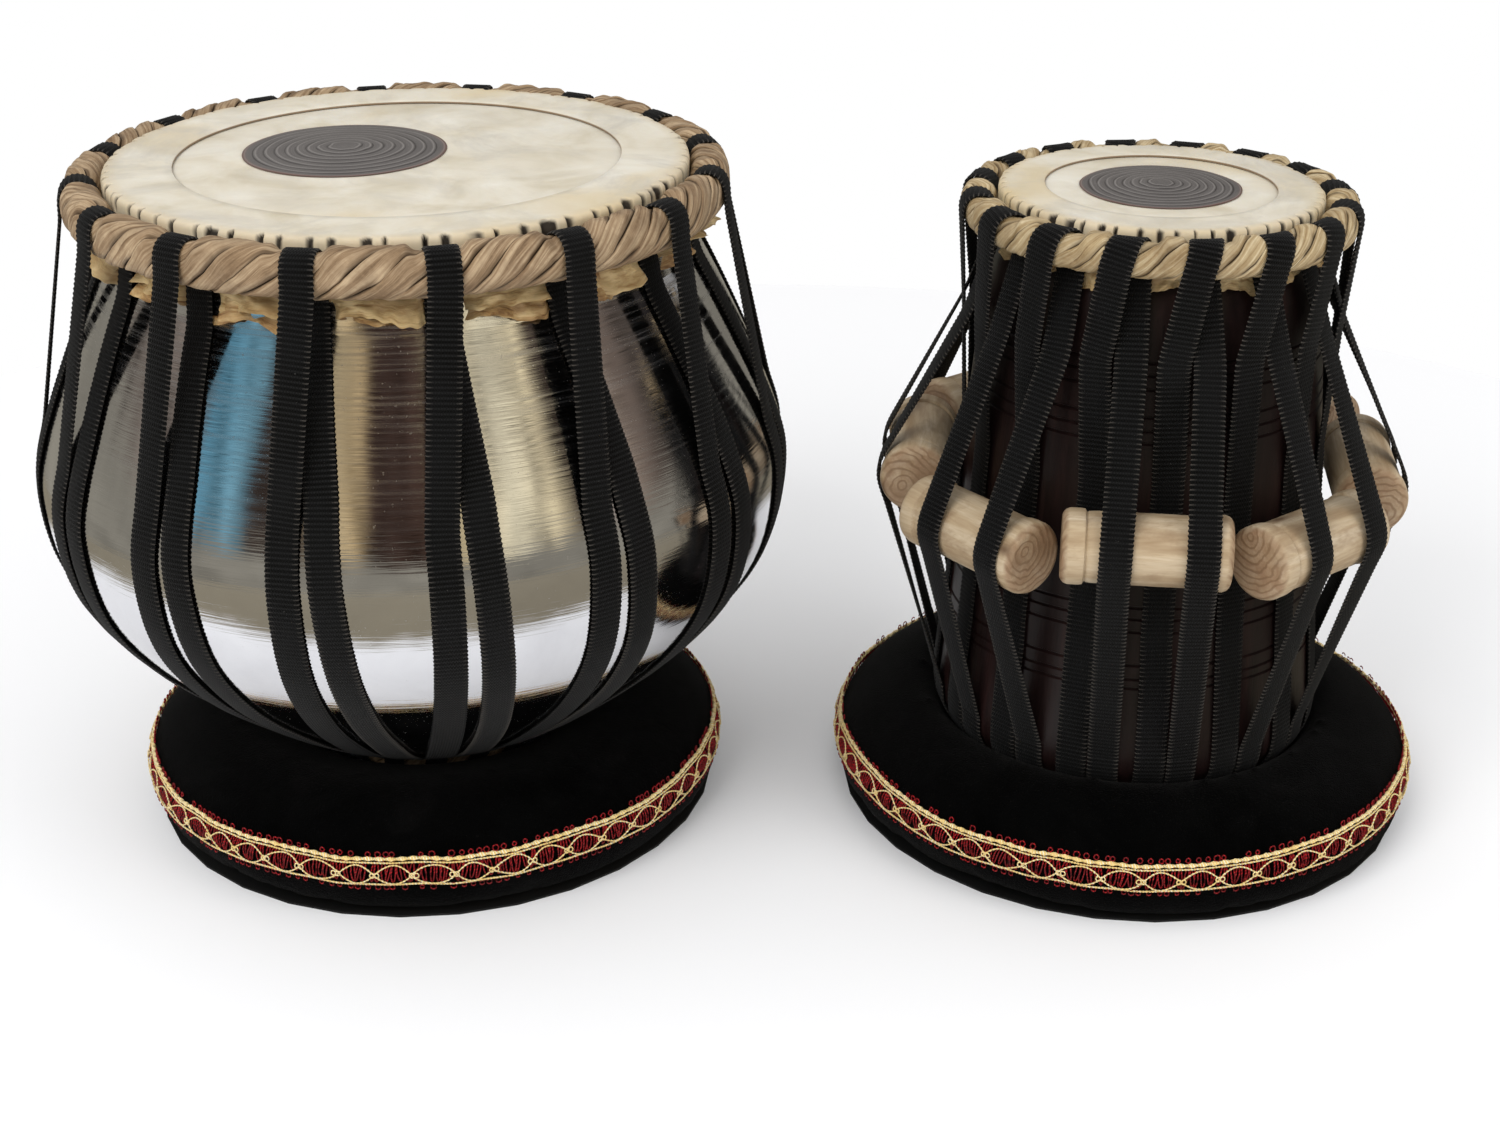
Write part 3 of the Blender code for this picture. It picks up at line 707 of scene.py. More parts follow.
def dayan_shell():
    """The side is cut with V-shaped lines, and softened at the heel."""
    wall, depth, half = 11 * MM, 0.9 * MM, 0.75 * MM
    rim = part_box("dayan_wooden_shell")[1].z
    outer = np.vstack([[DAYAN_CURVE[0, 0], rim], DAYAN_CURVE])
    cuts = {}
    for line in SCRIBED_LINES:
        for shift, cut in ((-half, 0), (-half * 0.3, depth), (half * 0.3, depth), (half, 0)):
            cuts[line * MM + shift] = cut
    kept = [z for z in set(outer[:, 1]) if all(abs(z - c) > 0.6 * MM for c in cuts)]
    levels = sorted([*kept, *cuts], reverse=True)
    carved = [(r - cuts.get(z, 0), z) for r, z in zip(radius_at(outer, levels), levels)]
    floor = 62 * MM
    inner = [(r - wall, z) for r, z in outer if z > floor][::3]
    outline = [*carved, (0, carved[-1][1]), (0, inner[-1][1]), *inner[::-1]]
    piece = spin_outline("dayan_shell", dayan.x, 0, outline, 128)
    settle(piece, dark_wood(), "dayan", "dark_wood", "dayan_wooden_shell", smooth=30)


def squared(angle):
    """How far out a rounded square reaches at an angle, as a share of the circle inside it."""
    return (np.abs(np.cos(angle)) ** SQUARENESS + np.abs(np.sin(angle)) ** SQUARENESS) ** (-1 / SQUARENESS)


def between_loops(degrees, middle, clear, ease):
    """0 at each strap loop and 1 between two of them."""
    away = np.abs(((degrees - middle) / LOOP_STEP + 0.5) % 1 - 0.5) * LOOP_STEP
    share = np.clip((away - clear) / ease, 0, 1)
    return share * share * (3 - 2 * share)


def playing_skin(drum, inner_radius, seed):
    """The sheet that is struck. Only its middle shows: the edge skin is drawn down over the rest."""
    look = skin(drum.name + "_playing_skin_finish", (drum.x, 0, 0), inner_radius, drum.skin_radius, seed)
    top, low = drum.playing_top, drum.playing_top - 1.0 * MM
    outer = drum.skin_radius - 4.8 * MM
    outline = [(0, top), (outer * 0.3, top), (outer * 0.6, top), (outer - 1 * MM, top)]
    outline += [(outer - 0.2 * MM, top - 0.3 * MM), (outer, low + 0.3 * MM), (outer - 0.5 * MM, low)]
    outline += [(outer * 0.6, low), (0, low)]
    piece = spin_outline(drum.name + "_playing_skin_sheet", drum.x, 0, outline, 128)
    settle(piece, look, drum.name, "goat_skin", drum.name + "_playing_skin", smooth=50)


def edge_skin(drum, opening, holes, seed):
    """A ring of skin drawn down over the rim, with a notch at its edge where each lace passes, painted dark as
    the shade inside the hole.
    """
    look = skin(drum.name + "_edge_skin_finish", (drum.x, 0, 0), opening * 3, drum.skin_radius, seed)
    columns = holes * 14
    angle = np.arange(columns) * TURN / columns
    thickness = 0.8 * MM
    top = drum.top
    outer = drum.skin_radius
    bend = [(4.4, 0), (3.7, 0.02), (3.0, 0.05), (2.3, 0.1), (1.6, 0.2), (0.9, 0.45), (0.3, 1.1)]
    bend += [(0, 2.2), (0, 3.6), (0, 6)]
    section = [(opening, top - thickness), (opening, top - 0.25 * MM), (opening + 0.3 * MM, top)]
    section += [(opening + (outer - opening) * s, top) for s in (0.15, 0.35, 0.55, 0.68)]
    section += [(outer - inward * MM, top - down * MM) for inward, down in bend]
    section += [(outer, drum.skirt_low), (outer - thickness, drum.skirt_low)]
    section += [(outer - thickness, top - 4 * MM), (outer - 5 * MM, top - thickness)]
    section.append((opening + (outer - opening) * 0.5, top - thickness))
    section = np.array(section)
    uneven = angle * holes / TURN + 0.22 * ripple(angle, drum.seed + 8, 6, holes, 0.0)
    hole = np.clip(1 - np.abs(uneven % 1 - 0.5) / 0.21, 0, 1)
    size = np.clip(1 + 0.3 * ripple(angle, drum.seed + 9, 5, 40, 0.3), 0.45, 1.3)
    near_edge = np.clip((section[:, 0] - (outer - 3.8 * MM)) / (2.8 * MM), 0, 1)
    upper = np.clip((section[:, 1] - (top - 7 * MM)) / (4 * MM), 0, 1)
    bite = np.clip(hole * 1.1 + near_edge[:, None] - 1.1, 0, 1) ** 0.8 * size * upper[:, None]
    wander = ripple(angle, drum.seed + 3, 5, 40, 0.4) * 0.3 * MM
    radius = section[:, 0][:, None] - bite * 1.4 * MM + (near_edge * upper * 0.5)[:, None] * wander
    height = section[:, 1][:, None] - bite * 2.2 * MM + near_edge[:, None] * wander * 0.4
    points = around(drum.x, angle[None, :], radius, height)
    # Painted shade: how dark each lace hole is painted, as the shade inside it
    lace_hole_shade = np.clip(bite * 2.6 - 0.45, 0, 1)
    # Painted shade along the cut edge of the opening: its first two rows
    cut_edge_shade = np.zeros_like(lace_hole_shade)
    cut_edge_shade[:2] = 1
    lace = np.stack([lace_hole_shade, cut_edge_shade, 0 * lace_hole_shade], -1)
    piece = from_grid(drum.name + "_edge_skin_ring", points, lace=lace)
    settle(piece, look, drum.name, "edge_skin", drum.name + "_edge_skin", smooth=60)


def paste_patch(drum, radius, steps):
    """Rings of paste laid one inside the other, each a little smaller than the last."""
    low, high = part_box(drum.name + "_black_paste")
    x, y = (low.x + high.x) / 2, (low.y + high.y) / 2
    angle = np.arange(160) * TURN / 160
    bands = steps + 0.6
    # The third number of each ledge row is painted light: low at a step's foot for painted shade, high at its
    # edge for a painted highlight
    ledge = ((0, 0.15, 0.1), (0.08, 0.8, 0.7), (0.22, 1.0, 1.0), (0.45, 1.0, 0.5), (0.86, 0.9, 0.4))
    rise = (high.z - low.z + 0.9 * MM) / steps
    rows = [around(x, angle, radius + 0 * angle, low.z + 0 * angle)]
    layer = [(0.5, 1.0)]
    level = low.z
    for step in range(steps):
        share = 1 - step / bands
        edge = radius * share + ripple(angle, drum.seed + step, 2, 9, 0.8) * 0.3 * MM
        for inward, up, painted_step_light in ledge:
            rows.append(around(x, angle, edge - radius / bands * inward, level + rise * up))
            layer.append((painted_step_light, share - inward / bands))
        level += rise * 0.9
    rows.append(around(x, angle, 0.02 * MM + 0 * angle, level))
    rows.append(around(x, angle, 0.02 * MM + 0 * angle, low.z))
    layer += [(0.5, 0.0), (0.5, 0.0)]
    points = np.stack(rows)
    points[:, :, 1] += y
    marks = np.zeros((*points.shape[:2], 3))
    marks[:, :, :2] = np.array(layer)[:, None, :]
    look = black_paste(drum.name + "_paste_finish", (x, y))
    piece = from_grid(drum.name + "_paste_patch", points, layer=marks)
    settle(piece, look, drum.name, "black_paste", drum.name + "_black_paste", smooth=50)


# ---------------------------------------------------------------- braids and hems


def twisted_ring(half_width, half_height, strips, twists, columns, seed, start=0.0):
    """A ring of strips laid up like a rope. The mesh runs with the strips, so that their edges are crisp."""
    angle = start + np.arange(columns) * TURN / columns
    rows = np.array(STRIP_PROFILE)
    strip = np.tile(rows[:, 0], strips)
    lay = np.repeat(np.arange(strips), len(rows))[::-1] + 1 - strip
    number = np.floor(lay - 1e-9)
    a, s = np.meshgrid(angle, lay * TURN / strips, indexing="ij")
    across = np.broadcast_to(strip, a.shape)
    s = s + twists * a - ripple(a, seed, 3, 24, 0.5) * 0.17 - rumple(a, s, seed + 7, 8, 40, 2) * 0.04
    gaping = np.clip(0.85 + 0.35 * rumple(a, s, seed + 9, 6, 50, 2), 0.25, 1.1)
    stands = 1 - (1 - np.tile(rows[:, 1], strips)) * gaping
    fat = ripple(a, seed + 1, 4, 30, 0.5) * 0.03
    crease = np.cos(across * 12 + 2.0 * rumple(a, s, seed + 2, 10, 60, 2)) * 0.009 * stands
    crumple = rumple(a, s, seed + 3, 20, 110, 4) * 0.012
    swell = (0.75 + 0.23 * stands + fat + crease + crumple) * squared(s)
    return a, s, half_width * swell * np.cos(s), half_height * swell * np.sin(s), across, number, stands


def rope(name, x, radius, height, parts, start=0.0, free=None, inward=0.0, lift=0.0):
    """The mesh of a twisted ring. Between the straps it spreads inward to the skin and up to its edge."""
    a, s, out, up, across, number, stands = parts
    free = np.zeros((len(a), 1)) if free is None else free[:, None]
    r = radius + out - inward * free * np.clip(-np.cos(s), 0, 1) ** 0.6
    r = r + 0.5 * MM * free * np.clip(np.cos(s), 0, 1)
    z = height + up + lift * free * np.clip(np.sin(s), 0, 1) ** 0.7
    lay = np.stack([across, (a - start) * radius * 10 + number * 3.7, stands], -1)
    return from_grid(name, around(x, a, r, z), lay=lay)


def braid(drum, look, strips, twists, columns):
    """The braid round the head, and the plain ring that the straps turn round under the drum."""
    spread = {"bayan": (BAYAN_FIRST_LOOP, 3.5, 2.0), "dayan": (DAYAN_FIRST_LOOP + 2, 6.3, 2.6)}
    first_loop, clear, ease = spread[drum.name]
    start = math.radians(first_loop)
    size = (drum.braid_half_width, drum.braid_half_height)
    parts = twisted_ring(*size, strips, twists, columns, drum.seed, start)
    free = between_loops(np.degrees(parts[0][:, 0]), first_loop, clear, ease)
    gap = drum.braid_inner - drum.skin_radius
    head = (drum.x, drum.braid_radius, drum.braid_height, parts, start, free, gap, BRAID_LIFT)
    parts = twisted_ring(drum.ring_half, drum.ring_half, 3, 9, 300, drum.seed + 5)
    foot = (drum.x, drum.ring_radius, drum.ring_height, parts)
    slot = "brown_hide" if drum is bayan else "tan_hide"
    for name, node, ring in (("_braid_rope", "_braid", head), ("_foot_rope", "_bottom_ring", foot)):
        settle(rope(drum.name + name, *ring), look, drum.name, slot, drum.name + node, smooth=50)


def hem(drum, curve, look, name, drop, ragged, flare, first_loop, seed):
    """The skins' loose hem: it hangs from behind the braid and curls out between the straps."""
    start = math.radians(first_loop)
    angle = start + np.arange(900) * TURN / 900
    down = np.linspace(0, 1, 16)[:, None]
    hidden = 3.0 if drum.name == "bayan" else 7.5
    free = between_loops(np.degrees(angle), first_loop + 1.0, hidden, 2.0)
    length = drop + ragged * ripple(angle, seed, 5, 26, 0.9)
    length = length + 0.35 * MM * ripple(angle, seed + 1, 50, 140, 0.2)
    length = np.clip(length, 2.0 * MM, drop + ragged * 2)
    z = drum.skirt_low + 3 * MM - (3 * MM + length) * down
    shell = radius_at(curve, z)
    fold = ripple(angle, seed + 2, 10, 36, 0.4)
    curl = flare * free * down**1.2 * np.clip(0.8 + 0.4 * fold, 0.1, 1.6)
    crumple = rumple(angle[None, :], down * 5, seed + 3, 20, 90, 2) * 0.6 * MM * free * np.sqrt(down)
    base = np.maximum(shell + 0.45 * MM, drum.skin_radius - 0.5 * MM * down)
    radius = base + np.maximum(curl + crumple, 0)
    z = z + curl * 0.25 * down + 0.3 * crumple
    outer = around(drum.x, angle[None, :], radius + 0.35 * MM, z)
    inner = around(drum.x, angle[None, :], radius, z)
    cut = np.stack([np.broadcast_to((angle - start) * drum.skin_radius, z.shape), z * 100, down + 0 * z], -1)
    points = np.concatenate([outer, inner[::-1]])
    piece = from_grid(name, points, cut=np.concatenate([cut, cut[::-1]]))
    nodes = [drum.name + "_lining_skin"] if "lining" in name else []
    settle(piece, look, drum.name, "goat_skin", *nodes, smooth=60)


# ---------------------------------------------------------------- straps


def webbing(name, runs, closed, look):
    """Ribbed webbing along each run, a row of which is a place, the way its width lies, and its width."""
    section = np.array([(-1, 0), (-0.86, -1), (0.86, -1), (1, 0), (0.86, 1), (-0.86, 1)])
    points, faces, weave = [], [], []
    count = 0
    for run in runs:
        place, across = run[:, :3], run[:, 3:6]
        along = heading(place, closed)
        across = unit(across - along * np.sum(across * along, 1)[:, None])
        up = np.cross(along, across)
        n = len(place)
        high = (np.arange(n) % 2).astype(float)
        width = run[:, 6] / 2 + (high - 0.5) * 0.45 * MM
        thick = STRAP_THICKNESS / 2 * (0.66 + 0.34 * high)
        ring = (
            place[:, None, :]
            + across[:, None, :] * section[None, :, :1] * width[:, None, None]
            + up[:, None, :] * section[None, :, 1:] * thick[:, None, None]
        )
        points.append(ring.reshape(-1, 3))
        lay = np.zeros((n, 6, 3))
        lay[:, :, 0] = section[None, :, 0] * width[:, None]
        lay[:, :, 1] = distances(place)[:, None]
        lay[:, :, 2] = section[None, :, 1]
        weave.append(lay.reshape(-1, 3))
        faces.append(grid_faces(n, 6, closed, True) + count)
        if not closed:
            for end in (0, (n - 1) * 6):
                faces.append(np.array([[0, 1, 2, 3], [0, 3, 4, 5]]) + end + count)
        count += n * 6
    piece = from_faces(name, np.concatenate(points), np.concatenate(faces), weave=np.concatenate(weave))
    piece.data.materials.append(look)
    return piece


def strap_width(radius):
    return min(STRAP_WIDTH, TURN * radius / LOOPS / 2 - 0.4 * MM)


def station(x, azimuth, radius, height):
    """One point of a strap: its place, the way its width lies, and its width."""
    turn = math.radians(azimuth)
    place = (x + radius * math.sin(turn), -radius * math.cos(turn), height)
    return np.array([*place, math.cos(turn), math.sin(turn), 0, strap_width(radius)])


def braid_turn(drum, outer, inner):
    """Up the outside of the braid, over it, and down the slit behind it."""
    reach = STRAP_GAP * 0.4 + STRAP_THICKNESS / 2
    found = []
    for turn in range(-20, 176, 15):
        angle = math.radians(turn)
        full = squared(angle)
        r = drum.braid_radius + (drum.braid_half_width * full + reach) * math.cos(angle)
        z = drum.braid_height + (drum.braid_half_height * full + reach) * math.sin(angle)
        r = max(r, drum.slit)
        share = min(max((turn + 20) / 195, 0), 1)
        found.append(station(drum.x, outer + (inner - outer) * share, r, z))
    found.append(station(drum.x, inner, drum.slit, drum.braid_height - drum.braid_half_height * 0.5))
    found.append(station(drum.x, inner, drum.slit, drum.skirt_low - 0.3 * MM))
    return found


def ring_turn(drum, azimuth):
    """Over the foot ring, down inside it and out again underneath."""
    reach = drum.ring_half + STRAP_GAP * 0.6 + STRAP_THICKNESS / 2
    found = []
    for turn in range(75, 331, 25):
        angle = math.radians(turn)
        share = (turn - 75) / 255
        lean = azimuth + (1.5 * (share - 0.9) / 0.1 if share > 0.9 else 0)
        radius = drum.ring_radius + reach * math.cos(angle)
        height = drum.ring_height + reach * math.sin(angle)
        found.append(station(drum.x, lean, radius, height))
    return found


def bayan_straps(look):
    """One long strap: up the shell, over the braid, down behind it, and round the foot ring to the next."""
    drum = bayan
    reach = STRAP_GAP * 0.7 + STRAP_THICKNESS / 2
    lane = move_sideways(BAYAN_CURVE, reach)
    belly = 0.186
    half_pitch = LOOP_STEP / 2
    chance = np.random.default_rng(4)

    def swing_out(radius):
        side_by_side = math.degrees((STRAP_WIDTH / 2 + 0.3 * MM) / radius)
        return min(side_by_side, half_pitch / 2)

    def swing_in(radius, height):
        if height > belly:
            return 2.9 * min(1, max(0, (drum.skirt_low - height) / (drum.skirt_low - belly) * 1.1))
        spread = 2.9 + 2.7 * min(1, (belly - height) / (116 * MM))
        return min(max(spread, swing_out(radius)), half_pitch / 2)

    lane = [p for p in lane[::2] if p[1] < drum.skirt_low - 6 * MM and p[0] > drum.ring_radius + 8 * MM]
    rows = []
    for number in range(LOOPS):
        middle = BAYAN_FIRST_LOOP + LOOP_STEP * number
        lean = chance.uniform(-0.5, 0.5)
        stray = chance.uniform(-0.35, 0.35)
        for radius, height in reversed(lane):
            if height < belly:
                rows.append(station(drum.x, middle - swing_out(radius) + stray, radius, height))
        rows += braid_turn(drum, middle + lean, middle + lean)
        for radius, height in lane:
            rows.append(station(drum.x, middle + swing_in(radius, height) + stray, radius, height))
        rows += ring_turn(drum, middle + half_pitch)
    line = easy_line(rows, RIB_PITCH / 2, 14 * MM, closed=True)
    if len(line) % 2:
        line = line[:-1]
    lacing = webbing("bayan_strap_lacing", [line], True, look)
    settle(lacing, look, "bayan", "black_webbing", "bayan_strap", smooth=75)


def block_axis(number):
    low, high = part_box(f"tuning_block_{number + 1}")
    return np.array([(low.x + high.x) / 2, (low.y + high.y) / 2, (low.z + high.z) / 2])


def dayan_straps(look):
    """The lacing in pieces: what stays on the drum, and at each block two runs above and two below it."""
    drum = dayan
    reach = STRAP_GAP * 0.7 + STRAP_THICKNESS / 2
    lane = move_sideways(DAYAN_CURVE, reach)
    half_pitch = LOOP_STEP / 2
    crossing, swing_behind, swing_before = 0.221, 6.8, 3.6
    back_to_side = 0.062
    low_lane = [p for p in lane[::2] if p[1] < 0.095 and p[0] > drum.ring_radius + 7 * MM]
    last_lane = [p for p in low_lane if p[1] < back_to_side]
    high_lane = [p for p in lane[::2] if 0.095 < p[1] < 0.171]
    crossing_radius = (drum.braid_outer + high_lane[0][0]) / 2
    bulge = 15 * MM + STRAP_THICKNESS / 2 + 0.6 * MM
    chance = np.random.default_rng(11)
    fixed_runs = []
    half_runs = {}

    def swing(radius):
        return min(math.degrees((STRAP_WIDTH / 2 + 0.25 * MM) / radius), half_pitch / 2)

    def on_block(number, place_on_block, turn):
        centre = block_axis(number)
        azimuth = math.radians(FIRST_BLOCK + 45 * number)
        across = np.array([math.cos(azimuth), math.sin(azimuth), 0])
        outward = np.array([math.sin(azimuth), -math.cos(azimuth), 0])
        angle = math.radians(turn)
        place = centre + outward * bulge * math.cos(angle) + across * place_on_block
        place[2] += bulge * math.sin(angle)
        return np.array([*place, *across, STRAP_WIDTH])

    for number in range(LOOPS):
        middle = DAYAN_FIRST_LOOP + LOOP_STEP * number
        lean = chance.uniform(-0.7, 0.7)
        block = (number + 1) // 2 % 8
        place_on_block = OVER_STRAP_PLACES[(number + 1) % 2]
        before = middle - LOOP_STEP
        fixed = [station(drum.x, before + swing(r), r, z) for r, z in last_lane]
        fixed += ring_turn(drum, middle - half_pitch)
        fixed += [station(drum.x, middle - swing(r), r, z) for r, z in reversed(low_lane)]
        fixed += [station(drum.x, middle - 5.0 + lean * 0.5, r, z) for r, z in reversed(high_lane)]
        fixed.append(station(drum.x, middle - swing_behind, crossing_radius, crossing))
        fixed += braid_turn(drum, middle - 2.5, middle + 2.0)
        fixed_runs.append(easy_line(fixed, RIB_PITCH / 2, 6 * MM))
        top = [fixed[-1], station(drum.x, middle + swing_before, crossing_radius, crossing)]
        over = [on_block(block, place_on_block, turn) for turn in (24, 16, 8, 0, -8, -16, -24, -32)]
        down = [station(drum.x, middle + swing(r), r, z) for r, z in last_lane[:1]]
        whole = easy_line([*top, *over, *down], RIB_PITCH / 2, 16 * MM)
        cut = int(np.argmin(np.abs(whole[:, 2] - over[3][2])))
        cut -= cut % 2
        half_runs.setdefault(block, []).append((whole[: cut + 1], whole[cut:]))
    lacing = webbing("dayan_strap_lacing", fixed_runs, False, look)
    settle(lacing, look, "dayan", "black_webbing", "dayan_strap", smooth=75)
    for block, pairs in half_runs.items():
        x, y, z = block_axis(block)
        above = (drum.skirt_low - 2 * MM, z + 16 * MM)
        levels = {"above": above, "below": (back_to_side + 2 * MM, z - 16 * MM)}
        for which, side in enumerate(levels):
            runs = [pair[which] for pair in pairs]
            piece = webbing(f"dayan_strap_{side}_block_{block + 1}", runs, False, look)
            settle(piece, look, None, "black_webbing", "dayan_strap", smooth=75)
            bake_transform(piece)


# ---------------------------------------------------------------- blocks


def tuning_blocks(look):
    """A roller with a rounded lip at each end, a scribed line behind the lip, and domed ends."""
    half = 32.5 * MM
    turned = [(0, 0.25), (6, 0.25), (11.6, 0.1), (12.5, 0), (13.4, 0.5), (14.4, 1.4), (15, 3), (15, 7)]
    turned += [(14.8, 8.6), (14.0, 9.1), (13.4, 9.5), (13.9, 10.1), (14.1, 13), (14.2, 28.5)]
    side = [(r * MM, half - inward * MM) for r, inward in turned]
    outline = side + [(r, -z) for r, z in reversed(side)]
    for number in range(8):
        azimuth = math.radians(FIRST_BLOCK + 45 * number)
        across = Vector((math.cos(azimuth), math.sin(azimuth), 0))
        piece = spin_outline(f"tuning_block_{number + 1}_wood", 0, 0, outline, 56)
        rest = np.array([v.co for v in piece.data.vertices])
        chance = np.random.default_rng(20 + number)
        dent = 1 + 0.006 * np.cos(2 * np.arctan2(rest[:, 1], rest[:, 0]) + chance.uniform(0, TURN))
        flat = rest * np.column_stack([dent, dent, np.ones(len(rest))])
        piece.data.vertices.foreach_set("co", flat.astype(np.float32).reshape(-1))
        roll = chance.uniform(0, TURN)
        c, s = math.cos(roll), math.sin(roll)
        shift = chance.uniform(-0.004, 0.004, 2)
        wide, deep = rest[:, 0] + shift[0], rest[:, 1] + shift[1]
        grain = np.column_stack([rest[:, 2], wide * c - deep * s, wide * s + deep * c])
        attribute = piece.data.attributes.new("grain", "FLOAT_VECTOR", "POINT")
        attribute.data.foreach_set("vector", grain.astype(np.float32).reshape(-1))
        piece.rotation_mode = "QUATERNION"
        piece.rotation_quaternion = across.to_track_quat("Z", "Y")
        piece.location = block_axis(number)
        settle(piece, look, f"block_{number + 1}", "pale_wood", f"tuning_block_{number + 1}", smooth=40)


# ---------------------------------------------------------------- cushions


def seat_curve(name):
    """The lowest line that a drum and its straps reach over the cushion."""
    curve = BAYAN_CURVE if name == "bayan" else DAYAN_CURVE
    return move_sideways(curve, STRAP_GAP + STRAP_THICKNESS + 0.9 * MM)


def cushion_outline(name):
    """The cover's outline from the outer bottom edge over the crown and down into the hole."""
    radius, side = CUSHION_RADIUS, CUSHION_SIDE_HEIGHT
    crown = 88 * MM
    low = 1.3 * MM
    outer = [(radius - 3.5 * MM, low), (radius - 0.8 * MM, 4 * MM), (radius, 10 * MM), (radius, 20 * MM)]
    outer += [(radius - 3 * MM, side), (radius - 12 * MM, side + 6.5 * MM)]
    outer += [(radius - 25 * MM, side + 13 * MM), (crown, CUSHION_CROWN_HEIGHT - 0.3 * MM)]
    highest, least = CUSHION_CROWN_HEIGHT - 3 * MM, CUSHION_HOLE_RADIUS + 6 * MM
    seat = [p for p in seat_curve(name) if p[1] < highest and p[0] > least][::2]
    hole_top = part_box(name + "_strap")[0].z - 0.9 * MM
    outer += [*seat, (CUSHION_HOLE_RADIUS, hole_top), (CUSHION_HOLE_RADIUS, low)]
    return outer


def swell(piece):
    """Fills the piece as wadding does: the cloth is blown out a little and kept."""
    pick(piece)
    remesh = piece.modifiers.new("even_cloth", "REMESH")
    remesh.mode = "VOXEL"
    remesh.voxel_size = CLOTH_CELL
    bpy.ops.object.modifier_apply(modifier=remesh.name)
    before = np.array([v.co for v in piece.data.vertices])
    cloth = piece.modifiers.new("cloth", "CLOTH")
    cloth.settings.quality = 6
    cloth.settings.use_pressure = True
    cloth.settings.uniform_pressure_force = CLOTH_PRESSURE
    cloth.settings.tension_stiffness = 12
    cloth.settings.bending_stiffness = 0.4
    cloth.settings.effector_weights.gravity = 0
    cloth.collision_settings.use_self_collision = False
    for step in range(1, CLOTH_FRAMES + 1):
        bpy.context.scene.frame_set(step)
    bpy.ops.object.modifier_apply(modifier=cloth.name)
    bpy.context.scene.frame_set(1)
    moved = np.array([v.co for v in piece.data.vertices]) - before
    size = np.linalg.norm(moved, axis=1)[:, None]
    return before + moved * np.minimum(1, MOST_SWELL / np.maximum(size, 1e-9))


def keep_clear(points, x, name):
    """Holds the cloth under the drum that sits on it, off the floor, and inside the trimming."""
    radius = np.hypot(points[:, 0] - x, points[:, 1])
    seat = seat_curve(name)
    seat = seat[np.argsort(seat[:, 0])]
    seat = seat[seat[:, 1] < 0.07]
    limit = np.interp(radius, seat[:, 0], seat[:, 1], left=1.0, right=1.0)
    hole_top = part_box(name + "_strap")[0].z - 0.9 * MM
    limit = np.where(radius < CUSHION_HOLE_RADIUS + 6 * MM, hole_top, limit)
    limit = np.where(radius > 92 * MM, 1.0, limit)
    points[:, 2] = np.minimum(points[:, 2], np.minimum(limit, CUSHION_CROWN_HEIGHT + 1.5 * MM))
    points[:, 2] = np.maximum(points[:, 2], 1.2 * MM)
    cloth_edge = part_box(name + "_cushion_base_cloth")[1].x - x + 0.2 * MM
    past_cloth = np.clip((radius - cloth_edge) / (0.8 * MM), 0, 1)
    points[:, 2] -= 1.0 * MM * past_cloth * np.clip(1 - points[:, 2] / (9 * MM), 0, 1)
    band = np.clip(1 - np.abs(points[:, 2] - 23 * MM) / (7 * MM), 0, 1)
    most = CUSHION_RADIUS + (1 - band) * 1.5 * MM
    shrink = np.minimum(1, most / np.maximum(radius, 1e-6))
    least = CUSHION_HOLE_RADIUS - 0.5 * MM
    grow = np.where(radius < least, least / np.maximum(radius, 1e-6), 1)
    for scale in (shrink, grow):
        points[:, 0] = x + (points[:, 0] - x) * scale
        points[:, 1] *= scale
    return points


def subdivide(piece):
    pick(piece)
    smoother = piece.modifiers.new("smooth", "SUBSURF")
    smoother.levels = smoother.render_levels = 1
    bpy.ops.object.modifier_apply(modifier=smoother.name)


def cushion(name, look, under_look):
    """The stuffed velvet ring under a drum, and the finish of the cloth under it."""
    low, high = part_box(name + "_cushion_cover")
    x = (low.x + high.x) / 2
    piece = spin_outline(name + "_cushion_velvet", x, 0, cushion_outline(name), 160)
    pick(piece)
    bpy.ops.object.transform_apply(location=True, rotation=True, scale=True)
    points = swell(piece)
    angle = np.arctan2(points[:, 0] - x, -points[:, 1])
    radius = np.hypot(points[:, 0] - x, points[:, 1])
    seed = 31 if name == "bayan" else 57
    lumps = ripple(angle, seed, 2, 14, 0.7) * np.clip((radius - 0.08) / 0.03, 0, 1)
    points[:, 2] += lumps * 0.5 * MM * np.clip(points[:, 2] / 0.03, 0, 1)
    points = keep_clear(points, x, name)
    piece.data.vertices.foreach_set("co", points.astype(np.float32).reshape(-1))
    piece.data.update()
    subdivide(piece)
    nodes = (name + "_cushion_cover", name + "_cushion_filling")
    settle(piece, look, "cushions", "black_velvet", *nodes, smooth=80)
    base_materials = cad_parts[name + "_cushion_base_cloth"].data.materials
    base_materials.clear()
    base_materials.append(under_look)
    return x


